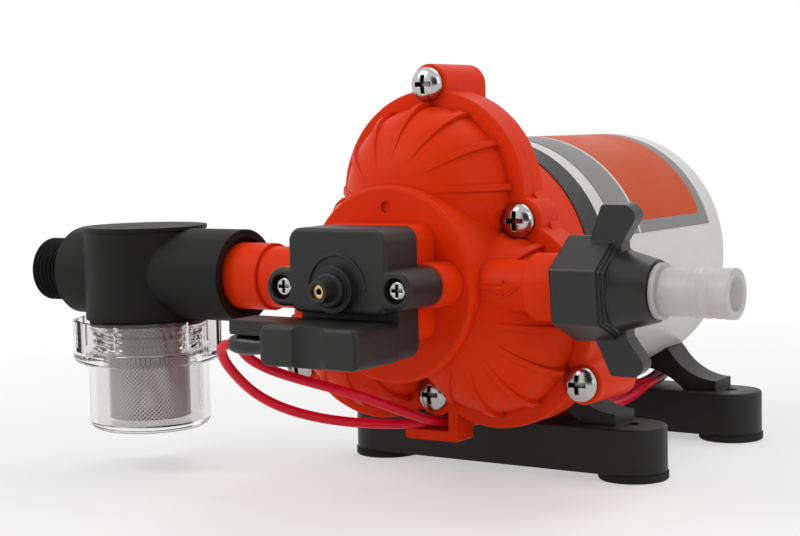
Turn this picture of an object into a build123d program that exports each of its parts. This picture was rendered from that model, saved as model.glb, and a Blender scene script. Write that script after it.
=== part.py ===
# Caravan water pump: a three-chamber diaphragm pump with its motor, pressure switch and inlet strainer.
# Millimetres. +X runs from inlet to outlet, +Y from the pump head back to the motor, +Z up.
# The origin is the middle of the four mounting holes, on the surface that the pump stands on.
import os
from math import cos, pi, radians, sin, sqrt, tan

from build123d import *

os.makedirs("parts", exist_ok=True)

# Driving dimensions: places
axis_height = 64.0
port_setback = 92.5
foot_span_x = 91.0
foot_span_y = 75.5
strainer_offset = 102.7

# Driving dimensions: fits and cuts
touch = 0.02
running_fit = 0.05
loose_fit = 0.3
overrun = 1.0

# Pump head and drive housing
lobe_reach = 24.3
lobe_radius = 31.8
lobe_screw_reach = 57.6
valley_screw_reach = 35.0
rim_setback = 13.5
head_rim = 5.5
housing_rim = 6.0
housing_barrel = 12.0
barrel_radius = 40.8
barrel_wall = 3.8
drum_radius = 28.7
drum_reach = 10.5
dome_radius = 26.8
dome_height = 21.5
screw_boss_radius = 6.2
pan_radius = 5.2
valley_boss_radius = 6.8

# Motor
motor_radius = 41.1
can_wall = 2.0
can_length = 88.2
bell_length = 11.5
shaft_radius = 4.0

# Ports
outlet_radius = 7.3
outlet_collar_radius = 9.55
inlet_radius = 9.45
inlet_ring_radius = 10.4
inlet_bore = 6.0
outlet_bore = 4.5
half_inch_thread_radius = 10.45
thread_pitch = 1.814

# Pressure switch
pad_thickness = 9.3
box_depth = 15.6
slab_depth = 9.7
switch_half_width = 16.6
switch_top = 17.8
switch_bottom = 19.3
ear_spacing = 38.6
ear_radius = 5.5
ear_height = 1.0

# Base
foot_radius = 10.5
cradle_wall = 3.2
saddle_clearance = 2.9
skid_height = axis_height - motor_radius - cradle_wall - saddle_clearance
foot_pad = 2.4
mount_hole_radius = 2.1

# Leads
lead_diameter = 3.0
lead_radius = lead_diameter / 2

# Places along Y, worked out from the sizes above
port_y = -port_setback
rim_front = port_y + rim_setback
joint_y = rim_front + head_rim
rim_back = joint_y + housing_rim
housing_back = rim_back + housing_barrel
bell_back = housing_back + bell_length
can_back = bell_back + can_length
drum_front = port_y - drum_reach
pad_front = drum_front - pad_thickness
box_front = pad_front - box_depth
slab_front = pad_front - slab_depth
strainer_x = -strainer_offset

lobe_angles = (90, 210, 330)
valley_angles = (30, 150, 270)

pump_section = Plane(origin=(0, 0, axis_height), x_dir=(0, 1, 0), z_dir=(1, 0, 0))
pump_axis = Axis((0, 0, axis_height), (0, 1, 0))
port_section = Plane(origin=(0, port_y, axis_height), x_dir=(1, 0, 0), z_dir=(0, -1, 0))
port_axis = Axis((0, port_y, axis_height), (1, 0, 0))
bowl_section = Plane(origin=(strainer_x, port_y, axis_height), x_dir=(1, 0, 0), z_dir=(0, -1, 0))
bowl_axis = Axis((strainer_x, port_y, axis_height), (0, 0, 1))


def facing(y, x=0, z=0):
    """A drawing plane that faces the front, centred on the pump axis; a positive extrusion comes forward."""
    return Plane(origin=(x, y, axis_height + z), x_dir=(1, 0, 0), z_dir=(0, -1, 0))


def facing_outlet(x, y=port_y, z=0, tilt=0):
    """A drawing plane that faces the outlet side; a positive extrusion runs along +X."""
    up = (0, -sin(radians(tilt)), cos(radians(tilt)))
    across = (0, cos(radians(tilt)), sin(radians(tilt)))
    origin = (x, y + z * up[1], axis_height + z * up[2])
    return Plane(origin=origin, x_dir=across, z_dir=(1, 0, 0))


def around(reach, angle):
    """A place at this reach from the pump axis, at this angle from +X."""
    return (reach * cos(radians(angle)), reach * sin(radians(angle)))


def outline(plane, points):
    """A face with straight edges through the points."""
    with BuildSketch(plane) as drawn:
        with BuildLine():
            Polyline(*points, close=True)
        make_face()
    return drawn.sketch


def box_outline(inner, outer, low, high):
    return [(low, inner), (high, inner), (high, outer), (low, outer)]


def turn_pump(points, mode=Mode.ADD):
    """Turn an outline of (y, radius) places about the pump axis."""
    revolve(outline(pump_section, points), axis=pump_axis, mode=mode)


def turn_port(points, mode=Mode.ADD):
    """Turn an outline of (x, radius) places about the ports' axis."""
    revolve(outline(port_section, points), axis=port_axis, mode=mode)


def box_ring(inner, outer, low, high):
    """Corners of a ring's section as (radius, z) places."""
    return [(inner, low), (outer, low), (outer, high), (inner, high)]


def turn_bowl(points, mode=Mode.ADD):
    """Turn an outline of (radius, z) places about the strainer's axis."""
    revolve(outline(bowl_section, points), axis=bowl_axis, mode=mode)


def discs(y, spots, radius):
    """Round faces of one radius at several places on a plane that faces the front."""
    with BuildSketch(facing(y)) as drawn:
        with Locations(*spots):
            Circle(radius)
    return drawn.sketch


def trefoil(y, radius, core):
    """Three overlapping circles, one on each lobe, filled in the middle."""
    with BuildSketch(facing(y)) as drawn:
        with Locations(*[around(lobe_reach, a) for a in lobe_angles]):
            Circle(radius)
        Circle(core)
    return drawn.sketch


def thread_outline(start, turns, pitch, crest, depth, root_inner):
    """Half outline of ring-shaped thread ridges along +X from start, as (x, radius) places."""
    points = [(start, root_inner), (start, crest - depth)]
    for index in range(turns):
        low = start + index * pitch
        points += [(low + pitch / 4, crest - depth), (low + pitch / 2, crest),
                   (low + pitch * 3 / 4, crest - depth)]
    end = start + turns * pitch
    points += [(end, crest - depth), (end, root_inner)]
    return points


def cross_recess(plane, width, span, depth):
    """Cut a cross-shaped driver recess into the part, from the plane backwards."""
    with BuildSketch(plane) as cross:
        Rectangle(width, span)
        Rectangle(span, width)
    extrude(cross.sketch, amount=-depth, mode=Mode.SUBTRACT)


def finish(piece, name):
    """Name a finished piece and write its file."""
    piece.part.label = name
    export_step(piece.part, f"parts/{name}.step")


# Base bracket: two skids with round ends, two saddle straps and the cradle plate between them
cradle_angle = 37
cradle_plate_angle = 20
strap_width = 13.0
strap_toe_out = 1.7
strap_toe_rise = 3.6
strap_heel_in = 10.1
strap_hollow_in = 8.2
strap_hollow_rise = 0.2
arch_angle = 24
arch_shoulder_in = 15.6
arch_shoulder_drop = 2.1
web_half_width = 7.0
skid_round = 0.8
strap_toe_x = motor_radius + strap_toe_out
strap_heel_x = motor_radius - strap_heel_in
strap_hollow = (motor_radius - strap_hollow_in, strap_hollow_rise - motor_radius)
arch_shoulder = (motor_radius - arch_shoulder_in, -motor_radius - arch_shoulder_drop)
cradle_inner = motor_radius + touch
cradle_outer = cradle_inner + cradle_wall
skid_top_below_axis = axis_height - skid_height


def on_circle(radius, angle_from_down):
    """A place below the pump axis, at this angle from straight down."""
    return (radius * sin(radians(angle_from_down)), -radius * cos(radians(angle_from_down)))


with BuildPart() as base_bracket:
    for skid_y in (-foot_span_y / 2, foot_span_y / 2):
        with BuildSketch(Plane.XY.offset(foot_pad)) as skid:
            with Locations((0, skid_y)):
                SlotCenterToCenter(foot_span_x, 2 * foot_radius)
        extrude(skid.sketch, amount=skid_height - foot_pad)
        fillet(base_bracket.edges().filter_by_position(Axis.Z, skid_height, skid_height)
               .filter_by_position(Axis.Y, skid_y - foot_radius, skid_y + foot_radius), radius=skid_round)
        strap_plane = facing(skid_y - strap_width / 2)
        cradle_tip = on_circle(cradle_outer, cradle_angle)
        toe_top = (strap_toe_x, -skid_top_below_axis + strap_toe_rise)
        with BuildSketch(strap_plane) as strap:
            with BuildLine():
                ThreePointArc(
                    on_circle(cradle_inner, 0), on_circle(cradle_inner, cradle_angle / 2),
                    on_circle(cradle_inner, cradle_angle))
                Line(on_circle(cradle_inner, cradle_angle), cradle_tip)
                ThreePointArc(cradle_tip, strap_hollow, toe_top)
                Polyline(toe_top, (strap_toe_x, -skid_top_below_axis), (strap_heel_x, -skid_top_below_axis))
                ThreePointArc(
                    (strap_heel_x, -skid_top_below_axis), arch_shoulder, on_circle(cradle_outer, arch_angle))
                ThreePointArc(
                    on_circle(cradle_outer, arch_angle), on_circle(cradle_outer, arch_angle / 2),
                    on_circle(cradle_outer, 0))
                Line(on_circle(cradle_outer, 0), on_circle(cradle_inner, 0))
            make_face()
            mirror(about=Plane.YZ)
        extrude(strap.sketch, amount=-strap_width)
        web_height = skid_top_below_axis - cradle_outer + cradle_wall / 2
        with BuildSketch(strap_plane) as web:
            with Locations((0, -skid_top_below_axis + web_height / 2)):
                Rectangle(2 * web_half_width, web_height)
        extrude(web.sketch, amount=-strap_width)
    with BuildSketch(facing(-foot_span_y / 2)) as cradle_plate:
        with BuildLine():
            inner_arc = CenterArc((0, 0), cradle_inner, -90 - cradle_plate_angle, 2 * cradle_plate_angle)
            outer_arc = CenterArc((0, 0), cradle_outer, -90 - cradle_plate_angle, 2 * cradle_plate_angle)
            Line(inner_arc @ 0, outer_arc @ 0)
            Line(inner_arc @ 1, outer_arc @ 1)
        make_face()
    extrude(cradle_plate.sketch, amount=-foot_span_y)
    with BuildSketch(Plane.XY) as mount_holes:
        with GridLocations(foot_span_x, foot_span_y, 2, 2):
            Circle(mount_hole_radius)
    extrude(mount_holes.sketch, amount=skid_height + overrun, mode=Mode.SUBTRACT)
finish(base_bracket, "base_bracket")

# Rubber feet: four pads under the skid ends
foot_flare = 0.4
foot_edge = 0.5
with BuildPart() as rubber_feet:
    with BuildSketch(Plane.XY) as pads:
        with GridLocations(foot_span_x, foot_span_y, 2, 2):
            Circle(foot_radius + foot_flare)
            Circle(mount_hole_radius, mode=Mode.SUBTRACT)
    extrude(pads.sketch, amount=foot_pad)
    chamfer(rubber_feet.faces().sort_by(Axis.Z)[:4].edges().filter_by(
        lambda e: e.radius > foot_radius), length=foot_edge)
finish(rubber_feet, "rubber_feet")

# Motor can: a drawn steel tube whose rear edge turns in
can_edge_round = 1.8
can_mouth_radius = motor_radius - can_wall - can_edge_round
with BuildPart() as motor_can:
    turn_pump(box_outline(motor_radius - can_wall, motor_radius, bell_back, can_back))
    turn_pump(box_outline(can_mouth_radius, motor_radius - can_wall, can_back - can_wall, can_back))
    fillet(motor_can.edges().filter_by(GeomType.CIRCLE).filter_by(
        lambda e: abs(e.radius - motor_radius) < touch and abs(e.center().Y - can_back) < touch),
        radius=can_edge_round)
finish(motor_can, "motor_can")

# Motor label: a thin wrap over the top of the can
label_thickness = 0.15
label_start = 7.5
label_length = 70.0
label_low_angle = 14.5
label_section = Plane(
    origin=(0, 0, axis_height), x_dir=(0, 1, 0),
    z_dir=(sin(radians(label_low_angle)), 0, cos(radians(label_low_angle))))
with BuildPart() as motor_label:
    label_face = outline(label_section, box_outline(
        motor_radius + touch, motor_radius + label_thickness,
        bell_back + label_start, bell_back + label_start + label_length))
    revolve(label_face, axis=pump_axis, revolution_arc=180 - 2 * label_low_angle)
finish(motor_label, "motor_label")

# Front end bell: the black ring between drive housing and can, with the front bearing's seat
bearing_radius = 11.0
bearing_width = 7.0
bell_web = 3.0
bell_spigot = 3.0
bearing_boss_wall = 2.5
bolt_inset = 6.8
bolt_reach = motor_radius - bolt_inset
bolt_angles = (90, 270)
bolt_radius = 1.8
bolt_clear = 2.1
with BuildPart() as front_end_bell:
    turn_pump(box_outline(motor_radius - can_wall - bell_spigot, motor_radius, housing_back, bell_back))
    turn_pump(box_outline(bearing_radius + touch, motor_radius - can_wall, housing_back,
                          housing_back + bell_web))
    turn_pump(box_outline(
        bearing_radius + touch, bearing_radius + bearing_boss_wall, housing_back,
        housing_back + bearing_width))
    turn_pump(box_outline(
        motor_radius - can_wall - bell_spigot, motor_radius - can_wall - touch, bell_back,
        bell_back + bell_spigot))
    extrude(discs(housing_back, [around(bolt_reach, a) for a in bolt_angles], bolt_clear),
            amount=-bell_length, mode=Mode.SUBTRACT)
finish(front_end_bell, "front_end_bell")


def bearing(y):
    """A bearing ring on the shaft, with grooves that part its races on both faces."""
    groove_low = shaft_radius + (bearing_radius - shaft_radius) * bearing_groove_shares[0]
    groove_high = shaft_radius + (bearing_radius - shaft_radius) * bearing_groove_shares[1]
    turn_pump(box_outline(shaft_radius + touch, bearing_radius, y, y + bearing_width))
    for edge in (y, y + bearing_width - bearing_groove_depth):
        turn_pump(box_outline(groove_low, groove_high, edge, edge + bearing_groove_depth),
                  mode=Mode.SUBTRACT)


bearing_groove_shares = (0.35, 0.65)
bearing_groove_depth = 0.6
rear_cap_inset = 0.4
rear_cap_web = 5.0
rear_bearing_y = can_back - rear_cap_inset - rear_cap_web / 2 - bearing_width
with BuildPart() as front_bearing:
    bearing(housing_back)
finish(front_bearing, "front_bearing")
with BuildPart() as rear_bearing:
    bearing(rear_bearing_y)
finish(rear_bearing, "rear_bearing")

# Rear end cap: closes the can behind the brushes, with the rear bearing's seat and the lead outlet
grommet_x = 16.0
grommet_inset = 19.1
grommet_drop = motor_radius - grommet_inset
grommet_hole = 4.6
cap_register = 6.0
cap_register_wall = 2.6
rear_cap_back = can_back - rear_cap_inset
rear_cap_front = rear_cap_back - rear_cap_web
with BuildPart() as rear_end_cap:
    turn_pump(box_outline(0, can_mouth_radius - touch, rear_cap_front, rear_cap_back))
    turn_pump(box_outline(0, motor_radius - can_wall - touch, rear_cap_front, can_back - can_wall - touch))
    turn_pump(box_outline(
        motor_radius - can_wall - cap_register_wall, motor_radius - can_wall - touch,
        rear_cap_front - cap_register, rear_cap_front))
    turn_pump(box_outline(
        0, bearing_radius + bearing_boss_wall, rear_bearing_y, rear_cap_front))
    turn_pump(box_outline(
        0, bearing_radius + touch, rear_bearing_y, rear_bearing_y + bearing_width), mode=Mode.SUBTRACT)
    extrude(discs(rear_cap_back, [(grommet_x, -grommet_drop)], grommet_hole),
            amount=2 * rear_cap_web, mode=Mode.SUBTRACT)
    extrude(discs(rear_cap_back, [around(bolt_reach, a) for a in bolt_angles], bolt_clear),
            amount=2 * rear_cap_web, mode=Mode.SUBTRACT)
finish(rear_end_cap, "rear_end_cap")

# Through bolts: hold end cap, can and bell together
bolt_head_radius = 2.9
bolt_head_height = 2.0
driver_width = 1.1
driver_depth = 1.6
with BuildPart() as motor_through_bolts:
    bolt_spots = [around(bolt_reach, a) for a in bolt_angles]
    bolt_length = rear_cap_back - housing_back - touch
    extrude(discs(rear_cap_back + touch, bolt_spots, bolt_radius), amount=bolt_length)
    extrude(discs(rear_cap_back + touch, bolt_spots, bolt_head_radius), amount=-bolt_head_height)
    for spot in bolt_spots:
        with BuildSketch(facing(rear_cap_back + bolt_head_height, *spot)) as slot:
            Rectangle(driver_width, 2 * bolt_head_radius)
        extrude(slot.sketch, amount=driver_depth, mode=Mode.SUBTRACT)
finish(motor_through_bolts, "motor_through_bolts")

# Lead grommet: a rubber bush in the end cap with a hole for each motor lead
grommet_lip = 1.0
grommet_lip_height = 1.5
lead_pitch = 3.6
with BuildPart() as lead_grommet:
    extrude(discs(rear_cap_back + touch, [(grommet_x, -grommet_drop)], grommet_hole - touch),
            amount=rear_cap_web)
    extrude(discs(rear_cap_back + touch, [(grommet_x, -grommet_drop)], grommet_hole + grommet_lip),
            amount=-grommet_lip_height)
    grommet_spots = [(grommet_x - lead_pitch / 2, -grommet_drop),
                     (grommet_x + lead_pitch / 2, -grommet_drop)]
    extrude(discs(rear_cap_back + 2 * grommet_lip_height, grommet_spots, lead_radius + touch),
            amount=rear_cap_web + 3 * grommet_lip_height, mode=Mode.SUBTRACT)
finish(lead_grommet, "lead_grommet")

# Magnets: two arcs inside the can
magnet_wall = 7.0
magnet_arc = 130
magnet_start = 9.0
magnet_length = 46.0
magnet_outer = motor_radius - can_wall - touch
magnet_inner = magnet_outer - magnet_wall
with BuildPart() as magnets:
    with BuildSketch(facing(bell_back + magnet_start)) as magnet_arcs:
        Circle(magnet_outer)
        Circle(magnet_inner, mode=Mode.SUBTRACT)
        for side in (0, 180):
            with BuildLine():
                gap_angle = side + 90
                gap_half = (180 - magnet_arc) / 2
                reach = 2 * magnet_outer
                Polyline((0, 0), around(reach, gap_angle - gap_half), around(reach, gap_angle + gap_half),
                         close=True)
            make_face(mode=Mode.SUBTRACT)
    extrude(magnet_arcs.sketch, amount=-magnet_length)
finish(magnets, "magnets")

# Armature: slotted core, windings with their end turns, and commutator, all on the shaft
air_gap = 0.7
core_radius = magnet_inner - air_gap
core_length = 38.0
core_start = magnet_start + (magnet_length - core_length) / 2
slot_count = 10
slot_reach_share = 0.72
slot_reach = core_radius * slot_reach_share
slot_radius = 4.2
slot_mouth = 2.2
core_bore = shaft_radius + touch
core_y = bell_back + core_start
with BuildPart() as armature_core:
    with BuildSketch(facing(core_y)) as lamination:
        Circle(core_radius)
        Circle(core_bore, mode=Mode.SUBTRACT)
        with PolarLocations(slot_reach, slot_count):
            Circle(slot_radius, mode=Mode.SUBTRACT)
        mouth_reach = (slot_reach + core_radius) / 2
        with PolarLocations(mouth_reach, slot_count):
            Rectangle(core_radius - slot_reach + slot_mouth, slot_mouth, mode=Mode.SUBTRACT)
    extrude(lamination.sketch, amount=-core_length)
finish(armature_core, "armature_core")

end_turn_length = 6.5
end_turn_shares = (1.4, 0.9)
end_turn_inner = slot_reach - slot_radius * end_turn_shares[0]
end_turn_outer = slot_reach + slot_radius * end_turn_shares[1]
winding_radius = slot_radius - loose_fit
with BuildPart() as armature_windings:
    with BuildSketch(facing(core_y)) as coil_sides:
        with PolarLocations(slot_reach, slot_count):
            Circle(winding_radius)
    extrude(coil_sides.sketch, amount=-core_length)
    for turn_y in (core_y - end_turn_length / 2, core_y + core_length + end_turn_length / 2):
        with BuildSketch(pump_section) as end_turn:
            with Locations((turn_y, (end_turn_inner + end_turn_outer) / 2)):
                RectangleRounded(end_turn_length, end_turn_outer - end_turn_inner, end_turn_length / 3)
        revolve(end_turn.sketch, axis=pump_axis)
finish(armature_windings, "armature_windings")

commutator_radius = 12.0
commutator_length = 12.0
commutator_slit = 0.6
commutator_groove = 1.0
commutator_gap = 1.5
commutator_y = core_y + core_length + end_turn_length + commutator_gap
with BuildPart() as commutator:
    with BuildSketch(facing(commutator_y)) as segments:
        Circle(commutator_radius)
        Circle(core_bore, mode=Mode.SUBTRACT)
        with PolarLocations(commutator_radius, slot_count):
            Rectangle(2 * commutator_groove, commutator_slit, mode=Mode.SUBTRACT)
    extrude(segments.sketch, amount=-commutator_length)
finish(commutator, "commutator")

# Wobble drive: its centre lies on the pump axis and its plate is tilted at rest towards the top lobe
tilt = 2.8
cavity_gap = 0.2
hub_length = 2.8
journal_radius = 8.0
journal_length = 8.0
hub_radius = 12.0
cam_bearing_radius = 13.0
wobble_setback = 8.3
wobble_y = joint_y + wobble_setback
hub_back = housing_back - cavity_gap
hub_front = hub_back - hub_length
shaft_front = wobble_y + shaft_radius / 4
with BuildPart() as rotor_shaft:
    turn_pump(box_outline(0, shaft_radius, shaft_front, rear_bearing_y + bearing_width - touch))
finish(rotor_shaft, "rotor_shaft")

tilted_section = Plane(
    origin=(0, wobble_y, axis_height), x_dir=(0, cos(radians(tilt)), sin(radians(tilt))), z_dir=(1, 0, 0))
tilted_axis = Axis((0, wobble_y, axis_height), (0, cos(radians(tilt)), sin(radians(tilt))))
tilted_front = Plane(
    origin=(0, wobble_y, axis_height), x_dir=(1, 0, 0), z_dir=(0, -cos(radians(tilt)), -sin(radians(tilt))))


def turn_tilted(points, mode=Mode.ADD):
    """Turn an outline of (distance behind the wobble centre, radius) places about the tilted axis."""
    revolve(outline(tilted_section, points), axis=tilted_axis, mode=mode)


journal_back = hub_front - wobble_y
journal_front = journal_back - journal_length
set_screw_radius = 1.5
with BuildPart() as drive_cam:
    turn_pump(box_outline(0, hub_radius, hub_front, hub_back))
    turn_tilted(box_outline(0, journal_radius, journal_front, journal_back + hub_length / 2))
    turn_pump(box_outline(0, core_bore, shaft_front - touch, hub_back), mode=Mode.SUBTRACT)
    with BuildSketch(Plane.XY.offset(axis_height)) as set_screw_hole:
        with Locations((0, (hub_front + hub_back) / 2)):
            Circle(set_screw_radius - touch)
    extrude(set_screw_hole.sketch, amount=hub_radius + overrun, mode=Mode.SUBTRACT)
finish(drive_cam, "drive_cam")

set_screw_length = 6.0
set_screw_socket = 0.8
with BuildPart() as cam_set_screw:
    with BuildSketch(Plane.XY.offset(axis_height + shaft_radius + touch)) as set_screw_round:
        with Locations((0, (hub_front + hub_back) / 2)):
            Circle(set_screw_radius - 2 * touch)
    extrude(set_screw_round.sketch, amount=set_screw_length)
    with BuildSketch(Plane.XY.offset(axis_height + shaft_radius + set_screw_length)) as set_screw_hex:
        with Locations((0, (hub_front + hub_back) / 2)):
            RegularPolygon(set_screw_socket, 6)
    extrude(set_screw_hex.sketch, amount=-set_screw_length / 3, mode=Mode.SUBTRACT)
finish(cam_set_screw, "cam_set_screw")

cam_bearing_front = journal_front + cavity_gap
cam_bearing_back = journal_back - cavity_gap - cam_bearing_radius * sin(radians(tilt))
with BuildPart() as cam_bearing:
    turn_tilted(box_outline(
        journal_radius + running_fit, cam_bearing_radius, cam_bearing_front, cam_bearing_back))
finish(cam_bearing, "cam_bearing")

# Wobble plate: a hub round the cam bearing, three arms and a foot behind each piston
wobble_hub_wall = 3.4
arm_width = 12.0
arm_thickness = 3.4
foot_plug_radius = 10.5
diaphragm_thickness = 2.2
housing_front_wall = 2.2
plug_gap = 2.0
plug_rise = 2.5
plug_front = joint_y + diaphragm_thickness + plug_gap
plug_setback = wobble_y - plug_front
arm_front = plug_setback - plug_rise
with BuildPart() as wobble_plate:
    hub_outer = cam_bearing_radius + wobble_hub_wall
    turn_tilted(box_outline(cam_bearing_radius + touch, hub_outer, -arm_front, cam_bearing_back))
    with BuildSketch(tilted_front.offset(arm_front)) as arms:
        for angle in lobe_angles:
            with Locations(around(lobe_reach / 2, angle)):
                Rectangle(lobe_reach, arm_width, rotation=angle)
            with Locations(around(lobe_reach, angle)):
                Circle(foot_plug_radius)
        Circle(cam_bearing_radius + touch, mode=Mode.SUBTRACT)
    extrude(arms.sketch, amount=-arm_thickness)
    with BuildSketch(tilted_front.offset(arm_front)) as plugs:
        with Locations(*[around(lobe_reach, a) for a in lobe_angles]):
            Circle(foot_plug_radius)
    extrude(plugs.sketch, amount=plug_setback - arm_front)
    piston_screw_radius = 2.0
    with BuildSketch(tilted_front.offset(plug_setback)) as screw_holes:
        with Locations(*[around(lobe_reach, a) for a in lobe_angles]):
            Circle(piston_screw_radius + touch)
    extrude(screw_holes.sketch, amount=-2 * arm_thickness, mode=Mode.SUBTRACT)
finish(wobble_plate, "wobble_plate")

# Pistons: a disc in each chamber with a stem through the diaphragm
piston_radius = 10.0
piston_thickness = 1.6
piston_stem_radius = 8.0
piston_reach = 2.0
piston_back = wobble_y - joint_y + piston_reach
screw_sink = 0.9
with BuildPart() as pistons:
    with BuildSketch(tilted_front.offset(piston_back)) as piston_discs:
        with Locations(*[around(lobe_reach, a) for a in lobe_angles]):
            Circle(piston_radius)
            Circle(piston_screw_radius + touch, mode=Mode.SUBTRACT)
    extrude(piston_discs.sketch, amount=piston_thickness)
    with BuildSketch(tilted_front.offset(plug_setback + touch)) as piston_stems:
        with Locations(*[around(lobe_reach, a) for a in lobe_angles]):
            Circle(piston_stem_radius)
            Circle(piston_screw_radius + touch, mode=Mode.SUBTRACT)
    extrude(piston_stems.sketch, amount=piston_back - plug_setback)
    piston_head_radius = 3.4
    with BuildSketch(tilted_front.offset(piston_back + piston_thickness)) as sinks:
        with Locations(*[around(lobe_reach, a) for a in lobe_angles]):
            Circle(piston_head_radius + touch)
    extrude(sinks.sketch, amount=-screw_sink, mode=Mode.SUBTRACT)
finish(pistons, "pistons")

piston_screw_length = 9.0
with BuildPart() as piston_screws:
    screw_seat = piston_back + piston_thickness - screw_sink + touch
    with BuildSketch(tilted_front.offset(screw_seat)) as screw_heads:
        with Locations(*[around(lobe_reach, a) for a in lobe_angles]):
            Circle(piston_head_radius)
    extrude(screw_heads.sketch, amount=screw_sink - touch)
    with BuildSketch(tilted_front.offset(screw_seat)) as screw_shanks:
        with Locations(*[around(lobe_reach, a) for a in lobe_angles]):
            Circle(piston_screw_radius)
    extrude(screw_shanks.sketch, amount=-piston_screw_length)
finish(piston_screws, "piston_screws")

# Diaphragm: clamped round its edge between head and housing, with a hole for each piston stem
diaphragm_radius = 25.2
stem_room = 1.0
diaphragm_hole = piston_stem_radius + stem_room
diaphragm_groove = 0.8
roll_radius = 11.0
roll_width = 1.6
with BuildPart() as diaphragm:
    extrude(trefoil(joint_y, diaphragm_radius, lobe_reach), amount=-diaphragm_thickness)
    lobe_spots = [around(lobe_reach, a) for a in lobe_angles]
    extrude(discs(joint_y, lobe_spots, diaphragm_hole), amount=-diaphragm_thickness, mode=Mode.SUBTRACT)
    with BuildSketch(facing(joint_y + diaphragm_thickness)) as rolls:
        with Locations(*lobe_spots):
            Circle(roll_radius + roll_width)
            Circle(roll_radius, mode=Mode.SUBTRACT)
    extrude(rolls.sketch, amount=diaphragm_groove, mode=Mode.SUBTRACT)
finish(diaphragm, "diaphragm")

# Valve plate: three chambers at the back, valves in their floors and the outlet valve in front
plate_radius = 25.0
plate_depth = 10.0
chamber_radius = 12.5
chamber_depth = 6.5
plate_front = joint_y - plate_depth
port_hole_radius = 1.0
port_hole_reach = 3.4
valve_stem_radius = 1.5
chamber_floor = joint_y - chamber_depth
outlet_ring_reach = 6.5
channel_inner = 4.6
channel_width = 8.4
channel_depth = 3.0
with BuildPart() as valve_plate:
    extrude(trefoil(joint_y, plate_radius, lobe_reach), amount=plate_depth)
    extrude(discs(joint_y, lobe_spots, chamber_radius), amount=chamber_depth, mode=Mode.SUBTRACT)
    extrude(discs(chamber_floor, lobe_spots, valve_stem_radius + touch), amount=plate_depth,
            mode=Mode.SUBTRACT)
    for spot in lobe_spots:
        with BuildSketch(facing(chamber_floor, *spot)) as floor_holes:
            with PolarLocations(port_hole_reach, 6):
                Circle(port_hole_radius)
        extrude(floor_holes.sketch, amount=plate_depth, mode=Mode.SUBTRACT)
    with BuildSketch(facing(joint_y)) as delivery_holes:
        with PolarLocations(outlet_ring_reach, 6):
            Circle(port_hole_radius)
        Circle(valve_stem_radius + touch)
    extrude(delivery_holes.sketch, amount=plate_depth, mode=Mode.SUBTRACT)
    with BuildSketch(facing(joint_y)) as channels:
        for angle in lobe_angles:
            with Locations(around((channel_inner + lobe_reach) / 2, angle)):
                Rectangle(lobe_reach - channel_inner, channel_width, rotation=angle)
    extrude(channels.sketch, amount=channel_depth, mode=Mode.SUBTRACT)
finish(valve_plate, "valve_plate")

valve_disc_radius = 5.4
valve_disc_thickness = 0.5
valve_bulb_radius = 2.0
valve_bulb_length = 1.4
with BuildPart() as inlet_valves:
    stem_length = chamber_floor - plate_front + touch
    extrude(discs(chamber_floor + touch, lobe_spots, valve_disc_radius), amount=-valve_disc_thickness)
    extrude(discs(chamber_floor + touch, lobe_spots, valve_stem_radius),
            amount=stem_length + valve_bulb_length)
    extrude(discs(plate_front - touch, lobe_spots, valve_bulb_radius), amount=valve_bulb_length)
finish(inlet_valves, "inlet_valves")

outlet_disc_radius = 8.6
with BuildPart() as outlet_valve:
    extrude(discs(plate_front - touch, [(0, 0)], outlet_disc_radius), amount=2 * valve_disc_thickness)
    extrude(discs(plate_front - touch, [(0, 0)], valve_stem_radius), amount=-plate_depth / 2)
finish(outlet_valve, "outlet_valve")

# Drive housing: trefoil rim with screw bosses, round barrel and the front wall that backs the diaphragm
boss_run = 17.0
screw_radius = 2.45
screw_hole = screw_radius + running_fit
screw_reach_in = 14.0
window_radius = 13.0
cavity_radius = barrel_radius - barrel_wall
lobe_screw_spots = [around(lobe_screw_reach, a) for a in lobe_angles]
valley_screw_spots = [around(valley_screw_reach, a) for a in valley_angles]
screw_spots = lobe_screw_spots + valley_screw_spots


def boss_bridges(y):
    """Flat-sided bosses that carry the outer screws out from the lobes."""
    with BuildSketch(facing(y)) as drawn:
        for angle in lobe_angles:
            with Locations(around((lobe_screw_reach + lobe_reach) / 2, angle)):
                Rectangle(lobe_screw_reach - lobe_reach, 2 * screw_boss_radius, rotation=angle)
            with Locations(around(lobe_screw_reach, angle)):
                Circle(screw_boss_radius)
    return drawn.sketch


inner_boss_radius = 5.2
with BuildPart() as drive_housing:
    extrude(trefoil(joint_y, lobe_radius, lobe_reach), amount=-housing_rim)
    extrude(discs(joint_y, valley_screw_spots, valley_boss_radius), amount=-housing_rim)
    turn_pump(box_outline(0, barrel_radius, joint_y + touch, housing_back))
    extrude(boss_bridges(joint_y), amount=-boss_run)
    wall_back = joint_y + diaphragm_thickness + housing_front_wall
    with BuildSketch(facing(wall_back)) as cavity:
        Circle(cavity_radius)
        with Locations(*valley_screw_spots):
            Circle(inner_boss_radius, mode=Mode.SUBTRACT)
    extrude(cavity.sketch, amount=-(housing_back - wall_back), mode=Mode.SUBTRACT)
    extrude(trefoil(joint_y, diaphragm_radius + touch, lobe_reach),
            amount=-diaphragm_thickness - touch, mode=Mode.SUBTRACT)
    extrude(discs(joint_y, lobe_spots, window_radius), amount=-2 * housing_rim, mode=Mode.SUBTRACT)
    extrude(discs(joint_y, screw_spots, screw_hole), amount=-screw_reach_in, mode=Mode.SUBTRACT)
finish(drive_housing, "drive_housing")

# Ribbed dome: the cover of the top chamber, with raised lines that fan out over it and rise towards its foot
rib_foot_rise = 1.5
rib_crown_rise = -0.25
rib_width = 1.9
rib_angles = (6, 34, 62, 90, 118, 146, 174)
rib_start_share = 0.4
rib_swing = 9
dome_base = rim_front


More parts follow.
